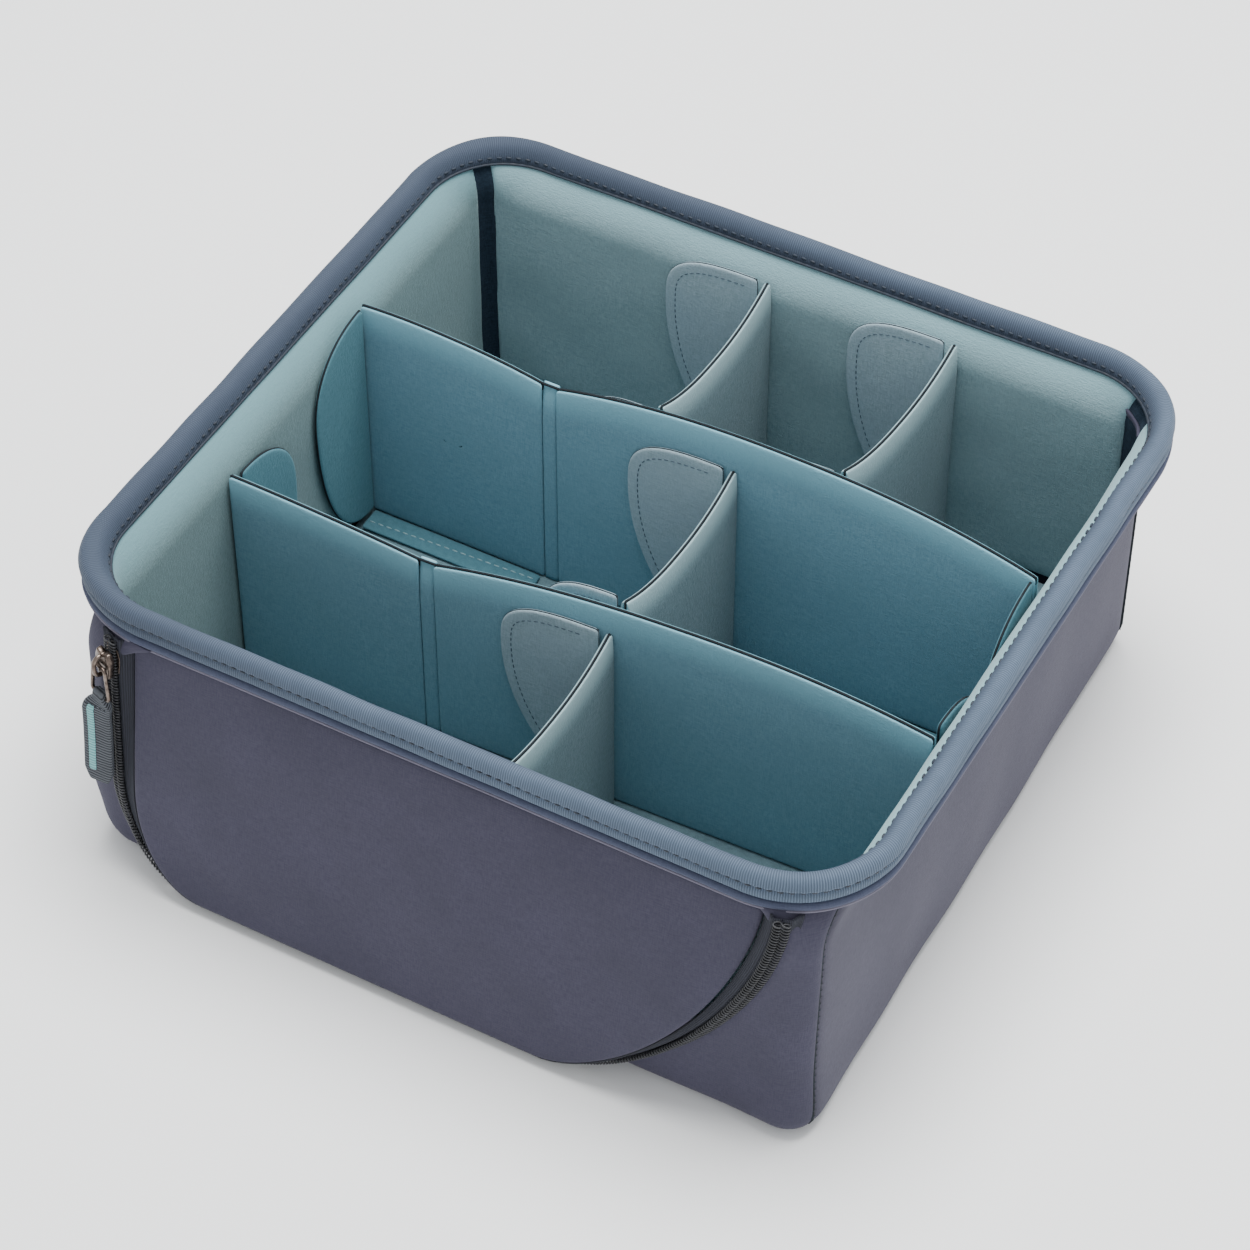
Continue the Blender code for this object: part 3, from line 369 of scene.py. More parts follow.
def tubeAlong(name, points, radius, material, closed=False, sides=8, flat=1.0, lean=(0, 0, 1)):
    # A round section carried along a line: point + radius (cos a * side + sin a * rise), where the
    # side is level with the line and the rise stands across both
    points = np.asarray(points, float)
    if closed:
        tangent = np.roll(points, -1, 0) - np.roll(points, 1, 0)
    else:
        tangent = np.gradient(points, axis=0)
    tangent /= np.linalg.norm(tangent, axis=1)[:, None]
    side = np.cross(tangent, np.broadcast_to(lean, tangent.shape))
    side /= np.linalg.norm(side, axis=1)[:, None]
    rise = np.cross(side, tangent)
    angle = np.linspace(0, 2 * math.pi, sides, endpoint=False)[None, :, None]
    radius = np.broadcast_to(radius, len(points))[:, None, None]
    ring = points[:, None] + radius * (np.cos(angle) * side[:, None] + flat * np.sin(angle) * rise[:, None])
    return gridMesh(name, ring, material, closeU=closed, closeV=True, caps=not closed, outward=True)


def stitchRow(name, points, ways, faces, length, width, material):
    # One stitch for each point: a lozenge of six-sided rings, long in the line's own way
    rings = np.array([(-0.5, 0.25), (-0.36, 0.8), (0.0, 1.0), (0.36, 0.8), (0.5, 0.25)])
    angle = np.arange(6) * math.pi / 3
    along = np.repeat(rings[:, 0], 6) * length
    wide = np.repeat(rings[:, 1], 6)[:, None] * np.tile(np.stack([np.cos(angle), np.sin(angle)], 1), (5, 1))
    side = np.cross(ways, faces)
    spots = (points[:, None] + ways[:, None] * along[None, :, None]
             + side[:, None] * wide[None, :, :1] * width / 2 + faces[:, None] * wide[None, :, 1:] * width / 2)
    ring, turn = (k.reshape(-1, 1) for k in np.meshgrid(np.arange(4), np.arange(6), indexing="ij"))
    quads = np.concatenate([ring * 6 + turn, ring * 6 + (turn + 1) % 6, ring * 6 + 6 + (turn + 1) % 6,
                            ring * 6 + 6 + turn], 1)
    starts = (np.arange(len(points)) * 30)[:, None]
    faceList = (quads[None] + starts[:, :, None]).reshape(-1, 4).tolist()
    faceList += (starts + np.arange(6)[None]).tolist() + (starts + np.arange(29, 23, -1)[None]).tolist()
    mesh = bpy.data.meshes.new(name)
    mesh.from_pydata((spots.reshape(-1, 3) * mm).tolist(), [], faceList)
    mesh.shade_smooth()
    mesh.materials.append(material)
    faceOutward(mesh)
    return newObject(name, mesh)


def roundedRing(left, right, front, rear, radius, step):
    # Points round a rectangle with round corners, one step apart, with their outward angles.
    # They start at the rear end of the right side and run anticlockwise
    quarter = np.linspace(0, math.pi / 2, 40)
    angle = np.concatenate([quarter + k * math.pi / 2 for k in range(4)] + [[2 * math.pi]])
    centreX = np.repeat([right - radius, left + radius, left + radius, right - radius], 40)
    centreY = np.repeat([rear - radius, rear - radius, front + radius, front + radius], 40)
    x = np.append(centreX, right - radius) + radius * np.cos(angle)
    y = np.append(centreY, rear - radius) + radius * np.sin(angle)
    run = np.concatenate([[0.0], np.cumsum(np.hypot(np.diff(x), np.diff(y)))])
    if step is None:
        return run, x, y, angle
    places = np.linspace(0, run[-1], int(round(run[-1] / step)), endpoint=False)
    return places, np.interp(places, run, x), np.interp(places, run, y), np.interp(places, run, angle)


def coreRings(outline, core, rings, top=None):
    # Rings between an outline and the middle segment inside it. A ring is (share, inset, lift): the
    # outline drawn in by the inset, then shrunk to that share of its way from the segment. With a
    # top function the outline is a box's: it is drawn in by scaling, which keeps its corners clean,
    # and a ring's fourth number is its inset at the top. The innermost ring meets itself at knots
    start, end = (np.array(point, float) for point in core)
    way = end - start
    share = np.clip(((outline - start) @ way) / (way @ way), 0, 1)
    middle = (start + share[:, None] * way)[:, None]
    knots = max(int(np.linalg.norm(way) / 4.5), 1)
    knotted = start + (np.round(share * knots) / knots)[:, None] * way
    tangent = np.roll(outline, -1, 0) - np.roll(outline, 1, 0)
    tangent /= np.linalg.norm(tangent, axis=1)[:, None]
    inward = np.stack([-tangent[:, 1], tangent[:, 0]], 1)[:, None]
    rings = np.array(rings, float)
    edge = outline[:, None] + inward * rings[None, :, 1:2]
    if top:
        low, high = outline[:, 0].min(), outline[:, 0].max()
        x = low + rings[:, 1] + (outline[:, :1] - low) * (high - low - 2 * rings[:, 1]) / (high - low)
        share = outline[:, 1:] / top(outline[:, :1])
        edge = stack(x, rings[:, 1] + share * (top(x) - rings[:, 1] - rings[:, 3]))
    flat = middle + (edge - middle) * rings[None, :, :1]
    flat = np.where(rings[None, :, :1] == 0, knotted[:, None], flat)
    return flat, np.broadcast_to(rings[:, 2], flat.shape[:2])


def upright(origin, direction):
    # Places plan-view pieces: x along the direction, y up, lift to the right of the direction
    way = np.array([direction[0], direction[1], 0.0]) / math.hypot(*direction)
    right = np.array([way[1], -way[0], 0.0])
    start = np.array([origin[0], origin[1], origin[2]], float)

    def place(flat, lift):
        up = np.array([0.0, 0.0, 1.0])
        return start + flat[..., :1] * way + flat[..., 1:] * up + lift[..., None] * right
    return place


def pillowRings(half, lip, seam=0.0, shares=(0.0, 0.14, 0.28, 0.42, 0.56, 0.69, 0.8, 0.89), roll=0.0):
    # From the middle of one face over the sewn edge to the middle of the other: flat faces that
    # round off towards two lips with a groove between them. The seam may sit off the middle, and a
    # roll thins the panel gently before its lips
    wide = np.array([1.8, 1.0, 0.5, 0.15, 0.0, 0.1, 0.5]) * lip + np.array([1, 0.66, 0.4, 0.2, 0.06, 0.06, 0.0]) * roll
    thin = (np.array([0.97, 0.9, 0.78, 0.58, 0.38, 0.2, 0.1])
            - np.array([0.02, 0.1, 0.16, 0.12, 0.04, 0, 0]) * min(roll / 8, 1))
    face = [(s, wide[0], half * thin[0]) for s in shares]
    edge = [(1, w, half * t) for w, t in zip(wide, thin)]
    side = np.array(face + edge)
    other = side[::-1] * np.array([1, 1, -1])
    rings = np.concatenate([side, other])
    rings[:, 2] += seam * (1 - (rings[:, 2] / half) ** 2)
    return rings


clothing = dict(quality=4, mass=0.3, tension_stiffness=12.0, compression_stiffness=12.0, bending_stiffness=1.5,
                vertex_group_mass="pinned", use_pressure=True)


def swell(jobs, frames=16):
    # Cloth simulation for all padded pieces together: each is blown up a little from inside while
    # its sewn edges are held. The move of each face is fitted with a smooth surface, the square of
    # (1 - x^2)(1 - z^2) times a polynomial of the fourth degree, which takes out the creases of
    # the grid. No point moves further than the piece's cap
    scene = bpy.context.scene
    for job in jobs:
        for modifier in job["piece"].modifiers:
            modifier.show_viewport = False
        cloth = modify(job["piece"], "CLOTH")
        for setting, value in clothing.items():
            setattr(cloth.settings, setting, value)
        cloth.settings.uniform_pressure_force = job["pressure"]
        cloth.settings.effector_weights.gravity = 0.0
        cloth.collision_settings.use_collision = False
        cloth.point_cache.frame_start = 1
        cloth.point_cache.frame_end = frames
    for number in range(1, frames + 1):
        scene.frame_set(number)
    graph = bpy.context.evaluated_depsgraph_get()
    for job in jobs:
        piece = job["piece"]
        mesh = piece.data
        before = np.empty(len(mesh.vertices) * 3, np.float32)
        mesh.vertices.foreach_get("co", before)
        after = np.empty_like(before)
        piece.evaluated_get(graph).data.vertices.foreach_get("co", after)
        before, after = before.reshape(-1, 3) / mm, after.reshape(-1, 3) / mm
        move = np.nan_to_num(after - before)
        free = np.linalg.norm(move, axis=1) > 1e-6
        across, lift, x, z = job["spread"](before)
        room = ((1 - x ** 2) * (1 - z ** 2)) ** 2
        basis = stack(*[room * x ** i * z ** j for i in range(5) for j in range(5 - i)])
        fitted = np.zeros(len(move))
        for side in (lift > 0, lift <= 0):
            rows = side & free
            factors = np.linalg.lstsq(basis[rows], move[rows] @ across, rcond=None)[0]
            fitted[rows] = basis[rows] @ factors
        move = fitted[:, None] * across
        length = np.linalg.norm(move, axis=1)[:, None]
        move *= np.minimum(1.0, job["cap"] / np.maximum(length, 1e-9))
        after = before + move
        if "limit" in job:
            after = job["limit"](after)
        job["moved"] = float(np.linalg.norm(after - before, axis=1).max())
        piece.modifiers.remove(piece.modifiers["cloth"])
        for modifier in piece.modifiers:
            modifier.show_viewport = True
        mesh.vertices.foreach_set("co", (after * mm).astype(np.float32).ravel())
        mesh.update()
    scene.frame_set(1)
    print("cloth settled on", len(jobs), "pieces, furthest", round(max(j["moved"] for j in jobs), 2), "mm")


swellJobs = []


# ---- rim: grosgrain binding folded over the wall tops, its stitches and the piping below

rim = dict(radius=38.0, middle=3.0, pitch=3.5, station=0.85, pucker=0.352, stitch=2.0, stitchWide=0.95)


def rimSection():
    # Inset from the rim's outer edge and height, round the binding: up the inner face, over the
    # crest, down to the folded edge, in to the stitched groove and down the second band
    return np.array([
        (6.0, 108.9), (6.2, 111.4), (6.9, 113.4), (7.9, 114.5), (8.15, 115.5), (7.9, 116.9), (7.3, 118.4),
        (6.5, 119.8), (5.5, 121.0), (4.4, 121.75), (3.3, 122.0), (2.3, 121.75), (1.4, 121.2), (0.7, 120.3),
        (0.2, 119.1), (-0.1, 118.1), (-0.12, 117.5), (0.1, 117.0), (0.85, 116.8), (1.15, 116.35), (0.9, 115.7),
        (0.5, 115.0), (0.35, 114.1), (0.35, 113.2), (0.5, 112.3), (0.9, 111.6), (1.6, 111.25), (2.8, 111.2),
        (4.2, 110.6), (5.0, 109.4)])


def rimRing(inset, step):
    # The rim's plan line at one inset, run round its own length
    half = case["length"] / 2 - inset, case["depth"] / 2 - inset
    return roundedRing(-half[0], half[0], -half[1], half[1], rim["radius"] - inset, step)


def rimFull(angle):
    # How far the rim stands out beyond its plan: fuller at the two left corners and the rear right
    turn = np.degrees(angle) % 360
    bumps = ((2.5, 212, 30), (1.5, 128, 26), (0.8, 40, 20))
    return sum(full * hump(turn, middle, wide) for full, middle, wide in bumps)


def buildRim():
    run, x, y, angle = rimRing(rim["middle"], rim["station"])
    section = rimSection()
    inset = section[None, :, 0] - rim["middle"]
    height = np.broadcast_to(section[None, :, 1], (len(run), len(section))).copy()
    pucker = 0.5 + 0.5 * np.cos(run * 2 * math.pi / rim["pitch"])[:, None]
    groove = hump(section[:, 1], 116.6, 0.75) * (section[:, 0] < 2)
    push = -rim["pucker"] * pucker * groove[None, :]
    soft = ripple(run[:, None], section[None, :, 1] * 2, 38, 3)
    outer = smoothStep((section[:, 1] - 109) / 6)[None, :]
    push = push + 0.22 * soft * outer
    outward = np.stack([np.cos(angle), np.sin(angle)], 1)[:, None]
    full = rimFull(angle)[:, None] * (1 - 0.85 * smoothStep((section[:, 0] - 2) / 3.5))
    plan = np.stack([x, y], 1)[:, None] + outward * (push + full - inset)[..., None]
    height += 0.25 * ripple(run, run * 0, 55, 5)[:, None] * smoothStep((section[:, 1] - 112) / 8)[None, :]
    points = np.concatenate([plan, height[..., None]], -1)
    binding = gridMesh("rimBinding", points, bindingTape, closeU=True, closeV=True, outward=True)
    settle(binding, "case", "rim_binding", "binding")

    # Stitches lie in the groove under the folded edge. The inner row holds the lining along the
    # binding's inner edge
    for name, inset, level, slope, share, facing in (("rimStitches", 0.7, 116.4, -0.16, 1.0, 1),
                                                     ("rimInnerStitches", 7.75, 117.3, 0.12, 0.15, -1)):
        run, x, y, angle = rimRing(inset, rim["pitch"])
        outward = np.stack([np.cos(angle), np.sin(angle), np.zeros_like(angle)], 1)
        ways = np.stack([-np.sin(angle), np.cos(angle), np.full_like(angle, slope)], 1)
        ways /= np.linalg.norm(ways, axis=1)[:, None]
        spots = np.stack([x, y, np.full_like(x, level)], 1) + outward * rimFull(angle)[:, None] * share
        stitches = stitchRow(name, spots, ways, outward * facing, rim["stitch"], rim["stitchWide"], stitchThread)
        settle(stitches, "case", (), "seam")

    # Piping: a covered cord below the binding, with the thin edge of its flange under it, coloured
    # pale as a painted highlight, and the dark fell where the binding meets the lining inside
    for name, inset, level, radius, cloth, node in (
            ("rimPiping", 1.95, 109.3, 1.85, pipingCloth, ("rim_piping",)),
            ("rimPipingEdge", 0.95, 107.3, 0.5, edgeCordHighlight, ()), ("rimInnerFell", 8.15, 114.9, 0.55, stitchThread, ())):
        run, x, y, angle = rimRing(inset, 2.0)
        turn = np.degrees(angle) % 360
        full = rimFull(angle) * (0.15 if inset > 5 else 1)
        thick = radius * (1 + 0.07 * ripple(run, run * 0, 30, 8) + 0.2 * hump(turn, 35, 14))
        height = level + 0.2 * ripple(run, run * 0, 60, 9)
        line = stack(x + np.cos(angle) * full, y + np.sin(angle) * full, height)
        cord = tubeAlong(name, line, thick, cloth, True, 12)
        settle(cord, "case", node, "piping")


buildRim()
print("rim done")


# ---- outer shell

shell = dict(thick=1.6, bulge=dict(rear=2.6, left=2.4, right=2.2, front=0.9), seamTuck=0.7, cell=4.5,
             top=dict(left=-139.6, right=140.0, front=-133.5, rear=129.9, radius=33.0), leanHeight=18.0,
             splay=3.4, slim=2.2, seamCord=0.65, cornerPush=3.6, footPush=1.6)
wallRun, wallX, wallY, wallAngle = roundedRing(case["left"], case["right"], case["front"], case["rear"],
                                               case["corner"], None)
_, topX, topY, _ = roundedRing(shell["top"]["left"], shell["top"]["right"], shell["top"]["front"],
                               shell["top"]["rear"], shell["top"]["radius"], None)
cornerArc = case["corner"] * math.pi / 2
seamArc = case["corner"] * math.radians(case["seamAngle"])
rearStraight = case["right"] - case["left"] - 2 * case["corner"]
sideStraight = case["rear"] - case["front"] - 2 * case["corner"]
seamRuns = dict(rear_right=seamArc, rear_left=rearStraight + 2 * cornerArc - seamArc)
seamRuns["front_left"] = rearStraight + 2 * cornerArc + sideStraight + seamArc
seamRuns["front_right"] = 2 * rearStraight + 4 * cornerArc + sideStraight - seamArc
frontStart = rearStraight + 3 * cornerArc + sideStraight
arcTurn = np.linspace(0, math.pi / 2, 12)
wallDrop = np.concatenate([[0.0, 8.0], 8.0 + case["bottomRound"] * arcTurn])
wallDrop = np.append(wallDrop, wallDrop[-1] + case["wallTop"] - case["bottomRound"])
wallInset = np.concatenate([[case["bottomRound"] + 8.0, case["bottomRound"]],
                            case["bottomRound"] * (1 - np.sin(arcTurn)), [0.0]])
wallHeight = np.concatenate([[0.1, 0.1], 0.1 + case["bottomRound"] * (1 - np.cos(arcTurn)), [case["wallTop"]]])


def climbAt(z):
    # The climb up the wall's profile at a height
    return np.interp(z, wallHeight[1:], wallDrop[1:])


def frontRun(x):
    # The run round the plan at a place across the front
    return frontStart + x - (case["left"] + case["corner"])


def wallPoint(run, climb, push):
    # A point of the shell: run round the plan, climb up the profile from under the bottom edge,
    # and push outwards from the wall. Near the top the plan leans over to the rim's rounder one,
    # the front's foot is splayed forwards, and the right wall is slimmer towards the rear
    run = np.mod(run, wallRun[-1])
    inset = np.interp(climb, wallDrop, wallInset)
    angle = np.interp(run, wallRun, wallAngle)
    out = push - inset
    height = np.interp(climb, wallDrop, wallHeight)
    lean = np.clip((height - (case["wallTop"] - shell["leanHeight"])) / shell["leanHeight"], 0, 1) ** 2
    x = np.interp(run, wallRun, wallX) * (1 - lean) + np.interp(run, wallRun, topX) * lean
    y = np.interp(run, wallRun, wallY) * (1 - lean) + np.interp(run, wallRun, topY) * lean
    x = x + np.cos(angle) * out
    y = y + np.sin(angle) * out
    y = y - shell["splay"] * (1 - height / case["wallTop"]) * smoothStep((-y - 80) / 45)
    x = x - shell["slim"] * smoothStep((x - 95) / 35) * smoothStep((y + 70) / 170)
    return np.stack([x, y, height], -1)


def wallPush(run, climb, side, first, last):
    # How far the cloth stands out from the wall's plane: a soft belly, the fuller front left
    # corner, ripples, and a tuck at each seam
    height = np.interp(climb, wallDrop, wallHeight)
    share = (run - first) / (last - first)
    belly = np.sin(math.pi * np.clip(share, 0, 1)) ** 0.7 * np.sin(math.pi * np.clip(height / 112, 0, 1)) ** 0.8
    ends = smoothStep(np.minimum(run - first, last - run) / 22)
    corner = (shell["cornerPush"] * hump(run, seamRuns["front_left"], 22) * hump(height, 36, 18)
              + shell["footPush"] * hump(run, seamRuns["front_right"], 20) * hump(height, 10, 14))
    tuck = shell["seamTuck"] * hump(np.minimum(run - first, last - run), 0, 1.3)
    soft = ripple(run, height * 0.8, 60, 21) * 0.5 * ends
    return shell["bulge"][side] * belly + corner + soft - tuck


def seamGrid(first, last, step):
    # Places from seam to seam, close together by the seams
    edge = np.array([0.0, 0.6, 1.3, 2.2, 3.6])
    count = int((last - first - 2 * edge[-1]) / step)
    middle = np.linspace(first + edge[-1], last - edge[-1], count + 1)[1:-1]
    return np.concatenate([first + edge, middle, last - edge[::-1]])


def buildPanel(side, first, last, material):
    run = seamGrid(first, last, shell["cell"])
    climb = np.concatenate([[0.0, 4.0], np.linspace(8, 8 + cornerArc * 0.75, 9),
                            np.linspace(8 + cornerArc * 0.75, wallDrop[-1], 24)[1:]])
    u, v = np.meshgrid(run, climb, indexing="ij")
    points = wallPoint(u, v, wallPush(u, v, side, first, last))
    panel = gridMesh(side + "OuterPanel", points, material, uv=np.stack([u, v], -1))
    modify(panel, "SOLIDIFY", thickness=shell["thick"] * mm, offset=-1.0)
    settle(panel, "case", side + "_outer_panel", "shell", 1)


def doorLine(left, right, bottom, top, radius, counts=(30, 18, 44, 60), bend=44.5, curve=1.6):
    # The door's U in x and z: down the left leg, round a corner that is taller than it is wide,
    # along the bottom and up the right side, a quarter superellipse whose power is the curve
    tall = radius * 0.9 + 17
    leg = np.linspace(top, bottom + tall, counts[0], endpoint=False)
    turn = np.linspace(math.pi, 1.5 * math.pi, counts[1], endpoint=False)
    base = np.linspace(left + radius, bend, counts[2], endpoint=False)
    sweep = np.linspace(0, math.pi / 2, counts[3])
    x = np.concatenate([leg * 0 + left, left + radius + radius * np.cos(turn), base,
                        bend + (right - bend) * np.sin(sweep) ** (2 / curve)])
    z = np.concatenate([leg, bottom + tall + tall * np.sin(turn), base * 0 + bottom,
                        top - (top - bottom) * np.cos(sweep) ** (2 / curve)])
    return np.stack([x, z], 1)


door = dict(left=-113.5, right=117.0, bottom=4.4, top=107.0, radius=26.0, lean=16.1, face=-134.5,
            margin=9.5, sill=9.4, zipTop=106.6)


def buildFrontPanel():
    # From the zip's U to the seams and the bottom edge, in the wall's unrolled run and climb
    line = doorLine(door["left"] - door["margin"], door["right"] + door["margin"], door["sill"],
                    case["wallTop"] - 0.3, door["radius"] + door["margin"])
    run, climb = frontRun(line[:, 0]), climbAt(line[:, 1])
    inner = np.stack([run, climb], 1)
    first, last = seamRuns["front_left"], seamRuns["front_right"]
    top = wallDrop[-1] - 0.3
    outer = np.concatenate([
        np.stack([np.full(30, first), climb[:30]], 1),
        np.stack([np.interp(np.arange(18), [0, 9, 18], [first, first, first + 18]),
                  np.interp(np.arange(18), [0, 9, 18], [climb[30], 0, 0])], 1),
        np.stack([np.linspace(first + 18, run[92], 44), np.zeros(44)], 1),
        np.stack([np.interp(np.arange(60), [0, 24, 59], [run[92], last, last]),
                  np.interp(np.arange(60), [0, 24, 59], [0, 0, top])], 1)])
    share = np.concatenate([[0.0, 0.0, 0.0, 0.0], np.linspace(0, 1, 15)])
    inset = np.array([1.6, 0.5, 0.0, 0.9] + [2.6] + [2.6] * 14)
    lift = np.array([0.0, 0.35, 1.0, 1.7, 1.75] + list(1.6 * np.exp(-np.linspace(0, 1, 14) * 5.0)))
    way = outer - inner
    way /= np.linalg.norm(way, axis=1)[:, None]
    start = inner[:, None] + way[:, None] * inset[None, :, None]
    flat = start + (outer[:, None] - start) * share[None, :, None]
    u, v = flat[..., 0], flat[..., 1]
    push = wallPush(u, v, "front", first, last) * smoothStep((v - 4) / 14) + lift[None, :] * 0.9
    points = wallPoint(u, v, push)
    panel = gridMesh("frontOuterPanel", points, slateWeave, uv=flat)
    modify(panel, "SOLIDIFY", thickness=shell["thick"] * mm * 0.6, offset=-1.0)
    settle(panel, "case", "front_outer_panel", "shell", 1)


def buildShell():
    total = wallRun[-1]
    buildPanel("rear", seamRuns["rear_right"], seamRuns["rear_left"], slateWeave)
    buildPanel("left", seamRuns["rear_left"], seamRuns["front_left"], slateWeave)
    # The right panel takes the lighter copy of the cloth: painted light
    buildPanel("right", seamRuns["front_right"], total + seamRuns["rear_right"], rightWeaveLit)
    buildFrontPanel()
    for corner, run in seamRuns.items():
        climb = np.linspace(9.5, wallDrop[-1] - 0.5, 44)
        side = "left" if corner.endswith("left") else "right"
        first = {"rear_right": -240.0, "rear_left": run, "front_left": run, "front_right": run}[corner]
        push = wallPush(np.full(44, run), climb, side, first, first + 240) + 0.35
        line = wallPoint(np.full(44, run), climb, push)
        cord = tubeAlong("cornerSeam_" + corner, line, shell["seamCord"], seamThread, sides=8, lean=(0.6, 0.8, 0))
        settle(cord, "case", "corner_seam_" + corner, "seam")
        spots = evenly(line, 3.2, False)
        angle = np.interp(run, wallRun, wallAngle)
        face = np.tile([math.cos(angle), math.sin(angle), 0.0], (len(spots), 1))
        across = np.tile([-math.sin(angle), math.cos(angle), 0.35], (len(spots), 1))
        across /= np.linalg.norm(across, axis=1)[:, None]
        stitches = stitchRow("cornerStitches_" + corner, spots + face * 0.45, across, face, 2.3, 0.42, stitchThread)
        settle(stitches, "case", (), "seam")
    inset = case["bottomRound"] + 2.0
    _, x, y, _ = roundedRing(case["left"] + inset, case["right"] - inset, case["front"] + inset,
                             case["rear"] - inset, 3.0, 6.0)
    flat, lift = coreRings(np.stack([x, y], 1), ((-20, -4), (20, -4)),
                           [(0, 0, 0.1), (0.3, 0, 0.15), (0.6, 0, 0.1), (0.9, 0, 0.0), (1, 0, 0.0), (1, 0, 1.7),
                            (0.5, 0, 1.7), (0, 0, 1.7)])
    base = gridMesh("basePanel", np.concatenate([flat, lift[..., None]], -1), slateWeave, uv=flat, closeU=True,
                    weld=True)
    settle(base, "case", "base_panel", "shell")


buildShell()
print("outer shell done")


# ---- lining: rolled wall pads, corner gussets and the floor

lining = dict(rollStart=99.0, top=117.0, power=1.8, edge=5.0, floor=14.3, frontY=-128.4, steepStart=98.0, steep=7.8,
              steepPower=1.1, gussetBack=1.9, gussetFold=0.3, gussetThick=0.9,
              gusset=dict(rear_left=5.2, rear_right=11.0, front_left=6.0, front_right=6.0))


def linerPlan(z):
    # Half width, front, rear and corner radius of the room inside the liners at a height. The tops
    # roll outwards with a power of the rise, up to the rim's inner face
    rise = np.clip((z - lining["rollStart"]) / (lining["top"] - lining["rollStart"]), 0, 1)
    roll = rise ** lining["power"]
    half = case["innerX"] + (case["length"] / 2 - lining["edge"] - case["innerX"]) * roll
    rear = case["innerRear"] + (case["depth"] / 2 - lining["edge"] - case["innerRear"]) * roll
    front = case["innerFront"] - (case["depth"] / 2 - lining["edge"] + case["innerFront"]) * roll
    return half, front, rear, 10.0 + 23.0 * np.minimum(1.1 * rise ** 1.3, 1)


def wallPad(name, side, thick, node):
    # A pad on a wall: its section runs up the inner face, over the top and down the back, and it is
    # carried along the wall and round into the corners, up to each corner's gusset
    start, top = lining["floor"], lining["top"]
    low = np.linspace(start + 1.5, lining["rollStart"] - 5, 14)
    high = np.linspace(lining["rollStart"] - 1, top - 0.9, 12)
    z = np.concatenate([[start], low, high, [top, top], high[::-1], low[::-1], [start]])
    depth = np.concatenate([[thick * 0.5], [0.0] * 26, [0.7, thick - 0.7], [thick] * 26, [thick * 0.5]])
    half, front, rear, radius = linerPlan(z)
    reach = half if side == "rear" else (rear - front) / 2
    middle = 0 * z if side == "rear" else (rear + front) / 2
    wall = rear if side == "rear" else half
    count = int(reach[0] * 2 / 4.5)
    edge = np.array([0.0, 0.004, 0.012])
    shares = np.unique(np.concatenate([edge, np.linspace(0, 1, count), 1 - edge]))[:, None] * 2 - 1
    if side == "right":
        # Away from the corners this pad stands steeper and its top keeps a little further in
        rise = np.clip((z - lining["steepStart"]) / (lining["top"] - lining["steepStart"]), 0, 1)
        steep = case["innerX"] + lining["steep"] * rise ** lining["steepPower"]
        wall = wall + (steep - wall) * smoothStep((1 - np.abs(shares)) / 0.3)
    ends = ("rear_left", "rear_right") if side == "rear" else ("front_" + side, "rear_" + side)
    gap = np.where(shares < 0, lining["gusset"][ends[0]], lining["gusset"][ends[1]])
    bow = radius * math.pi / 4 - gap / 2
    run = np.abs(shares) * (reach - radius + bow)
    angle = np.maximum(run - (reach - radius), 0) / radius
    soft = 0.3 * ripple(run * np.sign(shares), z[None, :], 45, len(name)) * (depth < thick / 2)
    crush = np.clip((np.abs(shares) - 0.976) / 0.024, 0, 1) ** 2
    out = depth + (thick / 2 - depth) * crush * 0.75 + soft
    along = middle + np.sign(shares) * (np.minimum(run, reach - radius) + (radius + out) * np.sin(angle))
    across = wall - radius + (radius + out) * np.cos(angle)
    height = np.broadcast_to(z, along.shape)
    points = dict(left=(-across, along, height), right=(across, along, height), rear=(along, across, height))
    # The left pad takes the darker copy of the lining: painted shade
    cloth = leftLoopShaded if side == "left" else linerLoop
    piece = gridMesh(name, np.stack(points[side], -1), cloth, closeV=True, caps=True, outward=True)
    settle(piece, "case", node, "loop", 1)


